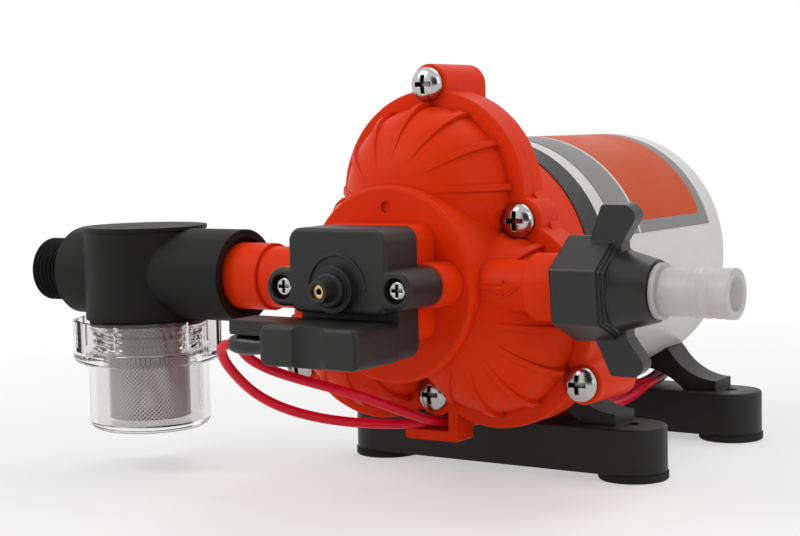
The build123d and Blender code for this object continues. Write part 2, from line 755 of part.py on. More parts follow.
def dome(radius, height):
    """Half of a rounded dome for the top lobe, turned about the lobe's own axis."""
    lobe_plane = Plane(origin=(0, dome_base, axis_height + lobe_reach), x_dir=(1, 0, 0), z_dir=(0, 0, -1))
    with BuildSketch(lobe_plane) as half:
        with BuildLine():
            EllipticalCenterArc((0, 0), radius, height, start_angle=0, arc_size=90)
            Line((0, height), (0, 0))
            Line((0, 0), (radius, 0))
        make_face()
    revolve(half.sketch, axis=Axis((0, dome_base, axis_height + lobe_reach), (0, 1, 0)))


with BuildPart() as ribbed_dome:
    dome(dome_radius + rib_foot_rise, dome_height + rib_crown_rise)
    with BuildSketch(facing(dome_base, 0, lobe_reach)) as between_ribs:
        Circle(dome_radius + 2 * rib_foot_rise)
        for rib_angle in rib_angles:
            rib_start = Vector(*around(dome_radius * rib_start_share, rib_angle + rib_swing))
            rib_run = Vector(*around(dome_radius + 2 * rib_foot_rise, rib_angle)) - rib_start
            with Locations(rib_start + rib_run / 2):
                Rectangle(rib_run.length, rib_width, rotation=rib_run.get_angle(Vector(1, 0, 0)),
                          mode=Mode.SUBTRACT)
    extrude(between_ribs.sketch, amount=2 * dome_height, mode=Mode.SUBTRACT)
    dome(dome_radius, dome_height)

# Pump head: rim, three ribbed domes, drum, switch pad, both ports and the lead hook
drum_round = 1.5
rim_round = 0.8
pad_round = 0.9
pad_drop = 15.0
pad_half_width = 16.3
pad_corner = 4.0
pad_ear_radius = 6.4
dimple_height = 22.4
dimple_radius = 1.7
dimple_depth = 0.8
port_start_share = 0.6
outlet_start = drum_radius * port_start_share
outlet_collar_start = 44.0
outlet_thread_turns = 4
outlet_end = 62.0
inlet_ring_start = 49.0
inlet_ring_end = 62.0
inlet_thread_end = 77.0
recess_clear = 0.2
gallery_radius = 10.0
gallery_depth = 14.0
pocket_radius = 7.0
pocket_depth = 9.0
suction_ring_inner = 19.0
suction_ring_outer = 24.0
suction_ring_depth = 3.8
suction_link_radius = 4.0
suction_link_depth = 7.0
hook_left = 10.9
hook_leg_left = 4.6
hook_leg_right = 7.9
hook_drop = 49.4
hook_bar = 3.0
hook_depth = 8.6
hook_round = 0.8
port_step = half_inch_thread_radius - loose_fit
outlet_crest = 10.0
outlet_thread_depth = 0.8


def switch_outline(plane, half_width, top, bottom, corner, ear):
    """The pressure switch's front outline: a rounded box with a round ear at each side."""
    with BuildSketch(plane) as drawn:
        with Locations((0, (top - bottom) / 2)):
            RectangleRounded(2 * half_width, top + bottom, corner)
        with Locations((0, ear_height)):
            SlotCenterToCenter(ear_spacing, 2 * ear)
    return drawn.sketch


# Flow arrow: a raised outline on the outlet tube
arrow_start = 28.6
arrow_end = 41.5
arrow_head_length = 5.6
arrow_head_half = 3.3
arrow_shaft_half = 1.5
arrow_line = 0.6
arrow_rise = 0.3
arrow_neck = arrow_end - arrow_head_length
with BuildPart() as flow_arrow:
    turn_port(box_outline(outlet_radius - arrow_rise, outlet_radius + arrow_rise, arrow_start, arrow_end))
    with BuildSketch(facing(port_y)) as arrow:
        with BuildLine():
            Polyline((arrow_start, -arrow_shaft_half), (arrow_neck, -arrow_shaft_half),
                     (arrow_neck, -arrow_head_half),
                     (arrow_end, 0), (arrow_neck, arrow_head_half), (arrow_neck, arrow_shaft_half),
                     (arrow_start, arrow_shaft_half), close=True)
        make_face()
        offset(amount=-arrow_line, mode=Mode.SUBTRACT)
    extrude(arrow.sketch, amount=2 * outlet_radius, mode=Mode.INTERSECT)

with BuildPart() as pump_head:
    extrude(trefoil(joint_y, lobe_radius, lobe_reach), amount=head_rim)
    extrude(discs(joint_y, valley_screw_spots, valley_boss_radius), amount=head_rim)
    extrude(boss_bridges(joint_y), amount=head_rim)
    fillet(pump_head.faces().sort_by(Axis.Y)[0].outer_wire().edges(), radius=rim_round)
    with Locations(*[Location((0, 0, axis_height), (0, -a, 0)) for a in (0, 120, 240)]):
        add(ribbed_dome.part.moved(Location((0, 0, -axis_height))))
    with BuildSketch(facing(rim_front)) as drum:
        Circle(drum_radius)
    extrude(drum.sketch, amount=rim_front - drum_front)
    fillet(pump_head.faces().sort_by(Axis.Y)[0].edges(), radius=drum_round)
    extrude(switch_outline(facing(drum_front), pad_half_width, switch_top, pad_drop, pad_corner,
                           pad_ear_radius),
            amount=pad_thickness)
    fillet(pump_head.faces().sort_by(Axis.Y)[0].outer_wire().edges(), radius=pad_round)
    turn_port([(outlet_start, 0), (outlet_start, outlet_radius), (outlet_collar_start, outlet_radius),
               (outlet_collar_start, outlet_collar_radius), (outlet_end, outlet_collar_radius),
               (outlet_end, 0)])
    add(flow_arrow.part)
    nut_thread_start = outlet_end - outlet_thread_turns * thread_pitch
    turn_port(thread_outline(
        nut_thread_start, outlet_thread_turns, thread_pitch, outlet_crest, outlet_thread_depth, outlet_bore))
    turn_port([(-outlet_start, 0), (-outlet_start, inlet_radius), (-inlet_ring_start, inlet_radius),
               (-inlet_ring_start, inlet_ring_radius), (-inlet_ring_end, inlet_ring_radius),
               (-inlet_ring_end, port_step), (-inlet_thread_end, port_step), (-inlet_thread_end, 0)])
    with BuildSketch(facing(joint_y + hook_depth - head_rim)) as hook:
        with BuildLine():
            Polyline(
                (-hook_left, -hook_drop), (hook_leg_right, -hook_drop),
                (hook_leg_right, -valley_screw_reach),
                (hook_leg_left, -valley_screw_reach), (hook_leg_left, -hook_drop + hook_bar),
                (-hook_left, -hook_drop + hook_bar), close=True)
        make_face()
        fillet(hook.vertices().filter_by_position(Axis.Y, -hook_drop - touch, -hook_drop + hook_bar + touch),
               radius=hook_round)
    extrude(hook.sketch, amount=hook_depth)
    hook_under = joint_y + hook_depth - head_rim
    with BuildSketch(facing(hook_under)) as rim_relief:
        with Locations((0, -valley_screw_reach)):
            Rectangle(3 * valley_boss_radius, 2 * (valley_boss_radius + loose_fit))
    extrude(rim_relief.sketch, amount=hook_under - joint_y, mode=Mode.SUBTRACT)
    extrude(trefoil(joint_y, plate_radius + recess_clear, lobe_reach + recess_clear),
            amount=plate_depth, mode=Mode.SUBTRACT)
    extrude(discs(plate_front, [(0, 0)], gallery_radius), amount=gallery_depth, mode=Mode.SUBTRACT)
    extrude(discs(plate_front, lobe_spots, pocket_radius), amount=pocket_depth, mode=Mode.SUBTRACT)
    turn_pump(box_outline(suction_ring_inner, suction_ring_outer, plate_front - suction_ring_depth,
                          plate_front),
              mode=Mode.SUBTRACT)
    suction_link = [(-(suction_ring_inner + suction_ring_outer) / 2, 0)]
    extrude(discs(plate_front, suction_link, suction_link_radius), amount=suction_link_depth,
            mode=Mode.SUBTRACT)
    turn_port(box_outline(0, outlet_bore, 0, outlet_end + overrun), mode=Mode.SUBTRACT)
    turn_port(box_outline(0, inlet_bore, -inlet_thread_end - overrun, -suction_ring_inner),
              mode=Mode.SUBTRACT)
    extrude(discs(rim_front, screw_spots, screw_hole), amount=-head_rim - overrun, mode=Mode.SUBTRACT)
    extrude(discs(rim_front, screw_spots, pan_radius + running_fit), amount=dome_height, mode=Mode.SUBTRACT)
    extrude(discs(drum_front, [(0, dimple_height)], dimple_radius), amount=-dimple_depth, mode=Mode.SUBTRACT)
    seat_radius = 8.0
    seat_depth = 1.5
    sense_radius = 1.6
    extrude(discs(pad_front, [(0, ear_height)], seat_radius), amount=-seat_depth, mode=Mode.SUBTRACT)
    extrude(discs(pad_front, [(0, ear_height)], sense_radius), amount=-pad_thickness - drum_reach,
            mode=Mode.SUBTRACT)
    ear_spots = [(-ear_spacing / 2, ear_height), (ear_spacing / 2, ear_height)]
    ear_screw_radius = 1.5
    extrude(discs(pad_front, ear_spots, ear_screw_radius + running_fit), amount=-pad_thickness + overrun,
            mode=Mode.SUBTRACT)
finish(pump_head, "pump_head")

# Head screws: six pan-head screws that clamp the head to the housing
pan_height = 3.6
pan_rim = 0.9
pan_recess_depth = 2.4
pan_driver_width = 1.4
pan_driver_span = 5.6
screw_tip_gap = 1.5
screw_length = head_rim + screw_reach_in - screw_tip_gap
with BuildPart() as pan_screw:
    with BuildSketch(Plane(origin=(0, 0, 0), x_dir=(1, 0, 0), z_dir=(0, 0, -1))) as pan_half:
        with BuildLine():
            Line((0, -screw_length), (0, pan_height))
            EllipticalCenterArc((0, pan_rim), pan_radius, pan_height - pan_rim, start_angle=0, arc_size=90)
            Polyline((pan_radius, pan_rim), (pan_radius, 0), (screw_radius, 0),
                     (screw_radius, -screw_length),
                     (0, -screw_length))
        make_face()
    revolve(pan_half.sketch, axis=Axis((0, 0, 0), (0, 1, 0)))
    cross_recess(Plane(origin=(0, -pan_height, 0), x_dir=(1, 0, 0), z_dir=(0, -1, 0)),
                 pan_driver_width, pan_driver_span, pan_recess_depth)
with BuildPart() as head_screws:
    with Locations(*[Location((x, rim_front - touch, axis_height + z)) for x, z in screw_spots]):
        add(pan_screw.part)
finish(head_screws, "head_screws")

# Pressure switch body: slab, upper box with ears, rounded ridge and turret
box_foot = 6.0
body_corner = 4.0
ear_pocket_radius = 3.6
ear_pocket_depth = 3.0
ridge_radius = 9.6
ridge_width = 0.8
ridge_height = 0.5
turret_base_radius = 6.6
turret_base_height = 2.4
turret_radius = 4.9
turret_neck_height = 4.8
turret_tip_radius = 3.2
turret_tip_height = 4.4
plunger_bore = 4.4
spring_bore = 4.4
tip_bore = 2.1
edge_soft = 0.8
box_round = 1.2
turret_front = box_front - turret_neck_height
turret_tip = turret_front - turret_tip_height
cover_depth = 30.1
cover_front = pad_front - cover_depth
cover_top = 8.0
cover_bottom = 19.5
cover_wall = 1.6
micro_half_width = 10.0
micro_sink = 4.0
micro_fit = 0.2
slot_front_wall = 1.8
micro_height = cover_bottom - cover_top - 2 * cover_wall - 2 * touch
with BuildPart() as switch_body:
    extrude(switch_outline(facing(pad_front), switch_half_width, switch_top, switch_bottom, body_corner,
                           ear_radius),
            amount=slab_depth)
    extrude(switch_outline(facing(slab_front), switch_half_width, switch_top, box_foot, body_corner,
                           ear_radius),
            amount=box_depth - slab_depth)
    fillet(switch_body.faces().sort_by(Axis.Y)[0].outer_wire().edges(), radius=box_round)
    extrude(discs(box_front, ear_spots, ear_pocket_radius), amount=-ear_pocket_depth, mode=Mode.SUBTRACT)
    extrude(discs(box_front, ear_spots, ear_screw_radius + running_fit), amount=-box_depth - overrun,
            mode=Mode.SUBTRACT)
    with BuildSketch(facing(box_front, 0, ear_height)) as ridge:
        Circle(ridge_radius + ridge_width / 2)
        Circle(ridge_radius - ridge_width / 2, mode=Mode.SUBTRACT)
        with Locations((0, -ridge_radius)):
            Rectangle(3 * ridge_radius, 2 * ridge_radius, mode=Mode.SUBTRACT)
    extrude(ridge.sketch, amount=ridge_height)
    extrude(discs(box_front, [(0, ear_height)], turret_base_radius), amount=turret_base_height)
    extrude(discs(box_front, [(0, ear_height)], turret_radius), amount=turret_neck_height)
    fillet(switch_body.edges().filter_by(GeomType.CIRCLE).filter_by(
        lambda e: abs(e.radius - turret_radius) < touch and abs(e.center().Y - turret_front) < touch),
        radius=edge_soft)
    extrude(discs(turret_front, [(0, ear_height)], turret_tip_radius), amount=turret_tip_height)
    spring_wall = 2.0
    extrude(discs(pad_front, [(0, ear_height)], plunger_bore),
            amount=pad_front - turret_front - spring_wall, mode=Mode.SUBTRACT)
    extrude(discs(pad_front, [(0, ear_height)], tip_bore), amount=pad_front - turret_tip + overrun,
            mode=Mode.SUBTRACT)
    with BuildSketch(facing(pad_front)) as micro_window:
        with Locations((0, -(cover_top + cover_bottom) / 2)):
            Rectangle(2 * (micro_half_width + micro_fit), micro_height + 2 * micro_fit)
    extrude(micro_window.sketch, amount=slab_depth, mode=Mode.SUBTRACT)
    with BuildSketch(facing(pad_front)) as arm_slot:
        with Locations((0, -cover_top / 2 - edge_soft)):
            Rectangle(plunger_bore, cover_top + 4 * edge_soft)
    extrude(arm_slot.sketch, amount=slab_depth - slot_front_wall, mode=Mode.SUBTRACT)
finish(switch_body, "switch_body")

# Switch cover: the box over the microswitch, with a shallow recess in its face and the terminal shroud
cover_corner = 2.5
cover_round = 1.4
cover_half_width = switch_half_width - touch
face_recess_half = 5.6
face_recess_x = 0.6
face_recess_depth = 1.7
shroud_length = 17.0
shroud_depth = 12.0
shroud_thickness = 4.2
with BuildPart() as switch_cover:
    with BuildSketch(facing(slab_front - touch)) as cover_box:
        with Locations((0, -(cover_top + cover_bottom) / 2)):
            RectangleRounded(2 * cover_half_width, cover_bottom - cover_top, cover_corner)
    extrude(cover_box.sketch, amount=slab_front - cover_front)
    fillet(switch_cover.faces().sort_by(Axis.Y)[0].outer_wire().edges(), radius=cover_round)
    hollow_radius = (face_recess_half ** 2 + face_recess_depth ** 2) / (2 * face_recess_depth)
    with BuildSketch(Plane.XY.offset(axis_height - 2 * cover_bottom)) as face_recess:
        with Locations((face_recess_x, cover_front + face_recess_depth - hollow_radius)):
            Circle(hollow_radius)
    extrude(face_recess.sketch, amount=2 * cover_bottom, mode=Mode.SUBTRACT)
    with BuildSketch(facing(slab_front - cover_wall)) as shroud:
        with Locations((-cover_half_width - shroud_length / 2 + cover_corner,
                        -cover_top - shroud_thickness / 2)):
            RectangleRounded(shroud_length + cover_corner, shroud_thickness, edge_soft)
    extrude(shroud.sketch, amount=shroud_depth)
    with BuildSketch(facing(slab_front - touch)) as cover_room:
        with Locations((0, -(cover_top + cover_bottom) / 2)):
            Rectangle(2 * (cover_half_width - cover_wall), cover_bottom - cover_top - 2 * cover_wall)
    extrude(cover_room.sketch, amount=cover_depth - slab_depth - cover_wall - face_recess_depth,
            mode=Mode.SUBTRACT)
    tab_drop = 15.3
    boot_radius = 3.0
    rear_boot_setback = 3.4
    rear_boot_y = slab_front - rear_boot_setback
    boot_spacing = 6.9
    boot_ys = (rear_boot_y, rear_boot_y - boot_spacing)
    for boot_y in boot_ys:
        with BuildSketch(facing_outlet(-cover_half_width - overrun, boot_y, -tab_drop)) as tab_hole:
            Rectangle(boot_radius, boot_radius)
        extrude(tab_hole.sketch, amount=cover_wall + 2 * overrun, mode=Mode.SUBTRACT)
finish(switch_cover, "switch_cover")

# Switch terminals: two blades that reach from the microswitch into the boots
blade_width = 2.6
blade_thickness = 0.8
blade_reach = 25.0
micro_front = cover_front + 2 * cover_wall + face_recess_depth
micro_back = slab_front + micro_sink
with BuildPart() as switch_terminals:
    for boot_y in boot_ys:
        with BuildSketch(facing_outlet(-blade_reach, boot_y, -tab_drop)) as blade:
            Rectangle(blade_thickness, blade_width)
        extrude(blade.sketch, amount=blade_reach - micro_half_width - touch)
finish(switch_terminals, "switch_terminals")

# Terminal boots: glossy sleeves over the blades, where the leads start
boot_length = 17.0
boot_gap = 0.3
boot_wall = 0.75
boot_waist_share = 0.86
boot_start = -cover_half_width - boot_gap
boot_end = boot_start - boot_length
boot_mouth = 3.0
with BuildPart() as terminal_boots:
    for boot_y in boot_ys:
        boot_plane = Plane(origin=(0, boot_y, axis_height - tab_drop), x_dir=(1, 0, 0), z_dir=(0, -1, 0))
        boot_axis = Axis((0, boot_y, axis_height - tab_drop), (1, 0, 0))
        with BuildSketch(boot_plane) as boot_half:
            with BuildLine():
                Line((boot_start, 0), (boot_start, boot_radius))
                Spline((boot_start, boot_radius),
                       (boot_start - boot_length / 3, boot_radius * boot_waist_share),
                       (boot_end + boot_length / 5, boot_radius), (boot_end, lead_radius + boot_wall))
                Polyline((boot_end, lead_radius + boot_wall), (boot_end, 0), (boot_start, 0))
            make_face()
        revolve(boot_half.sketch, axis=boot_axis)
        with BuildSketch(facing_outlet(boot_end, boot_y, -tab_drop)) as lead_bore:
            Circle(lead_radius + touch)
        extrude(lead_bore.sketch, amount=boot_mouth, mode=Mode.SUBTRACT)
        with BuildSketch(facing_outlet(-blade_reach - touch, boot_y, -tab_drop)) as blade_bore:
            Rectangle(blade_thickness + 2 * touch, blade_width + 2 * touch)
        extrude(blade_bore.sketch, amount=blade_reach, mode=Mode.SUBTRACT)
finish(terminal_boots, "terminal_boots")

# Microswitch: the electrical snap switch behind the cover, with its button towards the plunger arm
button_radius = 1.2
button_stroke = 1.0
with BuildPart() as microswitch:
    with BuildSketch(facing(micro_back)) as micro_block:
        with Locations((0, -(cover_top + cover_bottom) / 2)):
            Rectangle(2 * micro_half_width, micro_height)
    extrude(micro_block.sketch, amount=micro_back - micro_front)
    extrude(discs(micro_back, [(0, -(cover_top + cover_bottom) / 2)], button_radius + running_fit),
            amount=3 * button_stroke, mode=Mode.SUBTRACT)
finish(microswitch, "microswitch")

button_gap = 0.02
arm_gap = 1.6
arm_thickness_front = 1.8
arm_back = micro_back + arm_gap
with BuildPart() as switch_button:
    extrude(discs(arm_back, [(0, -(cover_top + cover_bottom) / 2)], button_radius),
            amount=arm_back - micro_back + button_stroke)
finish(switch_button, "switch_button")

# Plunger: pressed forward by the switch diaphragm; its arm works the microswitch button
plunger_radius = plunger_bore - running_fit
plunger_back = pad_front - loose_fit
plunger_length = 6.0
arm_slot_fit = 0.4
with BuildPart() as switch_plunger:
    extrude(discs(plunger_back, [(0, ear_height)], plunger_radius), amount=plunger_length)
    with BuildSketch(facing(arm_back + button_gap + arm_thickness_front)) as plunger_arm:
        arm_foot = -(cover_top + cover_bottom) / 2 - button_radius
        with Locations((0, (ear_height + arm_foot) / 2)):
            Rectangle(plunger_bore - 2 * arm_slot_fit, ear_height - arm_foot)
    extrude(plunger_arm.sketch, amount=arm_thickness_front)
finish(switch_plunger, "switch_plunger")

switch_disc_radius = seat_radius - running_fit
with BuildPart() as switch_diaphragm:
    extrude(discs(pad_front + seat_depth - touch, [(0, ear_height)], switch_disc_radius),
            amount=seat_depth - 2 * touch)
finish(switch_diaphragm, "switch_diaphragm")

# Spring, spring seat and adjusting screw in the turret
seat_thickness = 1.6
screw_travel = 1.2
spring_front = turret_front + spring_wall + screw_travel + seat_thickness
spring_back = plunger_back - plunger_length - touch
spring_outer = 3.6
spring_wire = 0.8
with BuildPart() as switch_spring:
    extrude(discs(spring_back, [(0, ear_height)], spring_outer), amount=spring_back - spring_front)
    extrude(discs(spring_back, [(0, ear_height)], spring_outer - spring_wire),
            amount=spring_back - spring_front, mode=Mode.SUBTRACT)
finish(switch_spring, "switch_spring")

with BuildPart() as spring_seat:
    extrude(discs(spring_front - touch, [(0, ear_height)], spring_bore - loose_fit), amount=seat_thickness)
finish(spring_seat, "spring_seat")

adjuster_radius = tip_bore - running_fit
adjuster_sink = 1.0
adjuster_socket = 1.0
with BuildPart() as adjusting_screw:
    adjuster_back = spring_front - seat_thickness - 2 * touch
    adjuster_front = turret_tip + adjuster_sink
    extrude(discs(adjuster_back, [(0, ear_height)], adjuster_radius), amount=adjuster_back - adjuster_front)
    with BuildSketch(facing(adjuster_front, 0, ear_height)) as adjuster_hex:
        RegularPolygon(adjuster_socket, 6)
    extrude(adjuster_hex.sketch, amount=-2 * adjuster_sink, mode=Mode.SUBTRACT)
finish(adjusting_screw, "adjusting_screw")

# Switch screws: two small pan-head screws in the ears
ear_head_radius = 2.9
ear_head_height = 1.9
ear_screw_length = 18.2
ear_driver_span = 3.6
ear_driver_width = 0.95
ear_driver_depth = 1.4
with BuildPart() as switch_screws:
    ear_seat = box_front + ear_pocket_depth
    extrude(discs(ear_seat - touch, ear_spots, ear_screw_radius), amount=-ear_screw_length)
    extrude(discs(ear_seat - touch, ear_spots, ear_head_radius), amount=ear_head_height)
    fillet(switch_screws.edges().filter_by(GeomType.CIRCLE).filter_by(
        lambda e: abs(e.center().Y - (ear_seat - touch - ear_head_height)) < touch),
        radius=ear_head_height / 2)
    for spot in ear_spots:
        cross_recess(facing(ear_seat - ear_head_height - touch, *spot),
                     ear_driver_width, ear_driver_span, ear_driver_depth)
finish(switch_screws, "switch_screws")

# Wing nut: hexagon, cone and two wings, turned a few degrees as it sits when tight
nut_clocking = 5.5
nut_start = 54.3
hex_length = 14.2
hex_flats = 26.0
band_count = 2
band_width = 0.9
band_relief = 0.7
cone_end = 80.5
cone_end_radius = 8.5
cone_start_radius = 11.7
nut_bore = outlet_crest + loose_fit
barb_hole = 6.95
wing_reach = 23.6
wing_root = 61.8
wing_tip_start = 66.2
wing_tip_end = 73.8
wing_corner = 76.6
wing_corner_reach = 20.6
wing_back = 71.5
wing_thickness = 5.2
wing_round = 2.4
wing_heel_round = 1.0
hex_round = 1.3
hex_edge_round = 0.7
hex_end = nut_start + hex_length
bands_end = hex_end + band_count * band_width
cone_shoulder_share = 0.96
inner_face_gap = 1.2
inner_face = bands_end + inner_face_gap
with BuildPart() as wing_nut:
    hex_radius = hex_flats / sqrt(3)
    with BuildSketch(facing_outlet(nut_start, tilt=nut_clocking)) as hexagon:
        RegularPolygon(hex_radius, 6, rotation=30)
        fillet(hexagon.vertices(), radius=hex_round)
    extrude(hexagon.sketch, amount=hex_length)
    fillet(wing_nut.faces().sort_by(Axis.X)[0].edges(), radius=hex_edge_round)
    for band in range(band_count):
        band_start = hex_end + band * band_width
        with BuildSketch(facing_outlet(band_start, tilt=nut_clocking)) as band_face:
            RegularPolygon(hex_radius - band_relief * (1 + band), 6, rotation=30)
            fillet(band_face.vertices(), radius=hex_round)
        extrude(band_face.sketch, amount=band_width)
    turn_port([(hex_end, 0), (hex_end, cone_start_radius),
               (bands_end, cone_start_radius * cone_shoulder_share),
               (cone_end, cone_end_radius), (cone_end, 0)])
    wing_points = [
        (wing_root, 0), (wing_root, hex_flats / 2), (wing_tip_start, wing_reach), (wing_tip_end, wing_reach),
        (wing_corner, wing_corner_reach), (wing_back, hex_flats / 2), (wing_back, 0)]
    wing_plane = Plane(origin=(0, port_y, axis_height), x_dir=(1, 0, 0),
                       z_dir=(0, -cos(radians(nut_clocking)), -sin(radians(nut_clocking))))
    for side in (1, -1):
        with BuildSketch(wing_plane) as wing_face:
            with BuildLine():
                Polyline(*[(x, side * reach) for x, reach in wing_points], close=True)
            make_face()
            fillet(wing_face.vertices().filter_by_position(Axis.X, wing_tip_end, wing_corner),
                   radius=wing_round)
            fillet(wing_face.vertices().filter_by_position(Axis.X, wing_tip_start, wing_tip_start),
                   radius=wing_heel_round)
        extrude(wing_face.sketch, amount=wing_thickness / 2, both=True)
    nut_inner = [(nut_start - overrun, 0), (nut_start - overrun, nut_bore), (inner_face, nut_bore),
                 (inner_face, barb_hole), (cone_end + overrun, barb_hole), (cone_end + overrun, 0)]
    turn_port(nut_inner, mode=Mode.SUBTRACT)
finish(wing_nut, "wing_nut")

# Hose barb: flange held by the nut, plain pipe, three shallow ridges and the tip
barb_root = 6.45
barb_crest = 6.75
barb_bore = 4.6
barb_end = 102.6
barb_flange_radius = 7.7
barb_flange_start = cone_end + loose_fit
barb_flange_thickness = 1.6
barb_flange_end = barb_flange_start + barb_flange_thickness
barb_ridge_start = 91.0
barb_ridge_pitch = 3.1
barb_ridge_rise = 0.6
barb_ridges = 3
barb_land = 2.6
barb_collar_end = inner_face - loose_fit
barb_collar_start = outlet_end + loose_fit
barb_collar_radius = nut_bore - loose_fit
with BuildPart() as hose_barb:
    barb_points = [(barb_collar_start, barb_bore), (barb_collar_start, barb_collar_radius),
                   (barb_collar_end, barb_collar_radius), (barb_collar_end, barb_root),
                   (barb_flange_start, barb_root), (barb_flange_start, barb_flange_radius),
                   (barb_flange_end, barb_flange_radius), (barb_flange_end, barb_root)]
    for index in range(barb_ridges):
        ridge_x = barb_ridge_start + index * barb_ridge_pitch
        barb_points += [(ridge_x, barb_root), (ridge_x + barb_ridge_rise, barb_crest),
                        (ridge_x + barb_ridge_pitch - barb_ridge_rise,
                         barb_root + (barb_crest - barb_root) / 2)]
    barb_points += [(barb_end - barb_land, barb_crest), (barb_end, barb_crest), (barb_end, barb_bore)]
    turn_port(barb_points)
finish(hose_barb, "hose_barb")

# O-ring between barb and outlet face
seal_wire = 1.3
seal_reach = (outlet_bore + outlet_collar_radius) / 2
with BuildPart() as barb_oring:
    turn_port(box_outline(seal_reach - seal_wire / 2, seal_reach + seal_wire / 2,
                          outlet_end + touch, barb_collar_start - touch))
finish(barb_oring, "barb_oring")

# Strainer body: threaded inlet, bowl head and the socket on the pump's inlet
strainer_top = 15.2
strainer_radius = 19.8
strainer_bottom = 14.7
strainer_bore = 16.9
thread_end_x = -145.0
strainer_thread_turns = 8
collar_radius = 14.3
collar_start = -130.0
socket_radius = 14.5
socket_end = -60.9
socket_mouth = 12.0
socket_bore = port_step + loose_fit
socket_throat = 8.0
inlet_passage = 7.0
thread_depth = 0.95
top_disc = 1.2
top_disc_step = 0.5
chamber_top = 8.5
chamber_draft = 2.0
bore_top = 5.6
with BuildPart() as strainer_body:
    turn_bowl([(0, -strainer_bottom), (strainer_radius, -strainer_bottom),
               (strainer_radius, strainer_top - top_disc),
               (strainer_radius + top_disc_step, strainer_top - top_disc),
               (strainer_radius + top_disc_step, strainer_top), (0, strainer_top)])
    turn_port(box_outline(0, collar_radius, collar_start, strainer_x))
    turn_port(thread_outline(thread_end_x, strainer_thread_turns, thread_pitch, half_inch_thread_radius,
                             thread_depth, inlet_passage))
    turn_port(box_outline(inlet_passage, half_inch_thread_radius - thread_depth,
                          thread_end_x + strainer_thread_turns * thread_pitch, collar_start))
    turn_port(box_outline(0, socket_radius, strainer_x, socket_end))
    turn_bowl([(0, -strainer_bottom - overrun), (strainer_bore + loose_fit, -strainer_bottom - overrun),
               (strainer_bore + loose_fit, -bore_top), (strainer_bore - chamber_draft, chamber_top),
               (0, chamber_top)],
              mode=Mode.SUBTRACT)
    turn_port(box_outline(0, inlet_passage, thread_end_x - overrun, strainer_x), mode=Mode.SUBTRACT)
    turn_port(box_outline(0, socket_throat, strainer_x, socket_end + overrun), mode=Mode.SUBTRACT)
    turn_port(box_outline(0, socket_bore, -inlet_thread_end - overrun, socket_end + overrun),
              mode=Mode.SUBTRACT)
    turn_port(box_outline(0, socket_mouth, -inlet_ring_end - loose_fit, socket_end + overrun),
              mode=Mode.SUBTRACT)
finish(strainer_body, "strainer_body")

gasket_thickness = 0.9
with BuildPart() as inlet_gasket:
    turn_port(box_outline(socket_throat, port_step - touch, -inlet_thread_end - overrun + touch,
                          -inlet_thread_end - overrun + gasket_thickness))
finish(inlet_gasket, "inlet_gasket")

# Strainer bowl: clear cup with a threaded neck and a fluted grip collar
bowl_collar_radius = 24.2
bowl_collar_top = 14.9
bowl_collar_bottom = 28.9
bowl_radius = 19.6
bowl_wall = 2.2
bowl_bottom = 50.6
bowl_floor = 2.6
neck_radius = strainer_bore
neck_top = 6.4
neck_wall = 2.0
skirt_wall = 1.7
skirt_inner = bowl_collar_radius - skirt_wall
groove_bottom = 25.6
ridge_count = 3
ridge_pitch = 2.5
ridge_rise = 1.1
oring_wire = 1.8
seal_gap = 0.1
shelf_top = strainer_bottom + oring_wire + seal_gap
shelf_thickness = 1.4
shelf_radius = neck_radius + oring_wire
flute_count = 8
flute_start = 22.5
flute_width = 9.0
flute_depth = 1.1
flute_stop = 4.4
bowl_round = 3.0
collar_round = 2.6
with BuildPart() as strainer_bowl:
    bowl_points = [(0, -bowl_bottom), (bowl_radius, -bowl_bottom), (bowl_radius, -bowl_collar_bottom),
                   (bowl_collar_radius, -bowl_collar_bottom), (bowl_collar_radius, -bowl_collar_top),
                   (skirt_inner, -bowl_collar_top), (skirt_inner, -groove_bottom),
                   (neck_radius, -groove_bottom)]
    for ridge in range(ridge_count):
        ridge_low = ridge * ridge_pitch - groove_bottom + ridge_pitch / 8
        bowl_points += [(neck_radius, ridge_low), (neck_radius + ridge_rise, ridge_low + ridge_pitch / 4),
                        (neck_radius + ridge_rise, ridge_low + ridge_pitch / 2),
                        (neck_radius, ridge_low + ridge_pitch * 3 / 4)]
    bowl_points += [(neck_radius, -shelf_top - shelf_thickness),
                    (shelf_radius, -shelf_top - shelf_thickness),
                    (shelf_radius, -shelf_top), (neck_radius, -shelf_top), (neck_radius, -neck_top),
                    (neck_radius - neck_wall, -neck_top), (neck_radius - neck_wall, -bowl_collar_bottom),
                    (bowl_radius - bowl_wall, -bowl_collar_bottom),
                    (bowl_radius - bowl_wall, -bowl_bottom + bowl_floor),
                    (0, -bowl_bottom + bowl_floor)]
    turn_bowl(bowl_points)
    bottom_edges = strainer_bowl.edges().filter_by(GeomType.CIRCLE)
    fillet(bottom_edges.sort_by(Axis.Z)[0], radius=bowl_round)
    fillet(strainer_bowl.edges().filter_by(GeomType.CIRCLE).filter_by(
        lambda e: abs(e.radius - bowl_collar_radius) < touch
        and abs(e.center().Z - axis_height + bowl_collar_bottom) < touch), radius=collar_round)
    with BuildSketch(Plane(origin=(strainer_x, port_y, axis_height - bowl_collar_top))) as flutes:
        with PolarLocations(bowl_collar_radius + flute_width / 2 - flute_depth, flute_count, flute_start):
            Circle(flute_width / 2)
    extrude(flutes.sketch, amount=-(bowl_collar_bottom - bowl_collar_top - flute_stop), mode=Mode.SUBTRACT)
finish(strainer_bowl, "strainer_bowl")

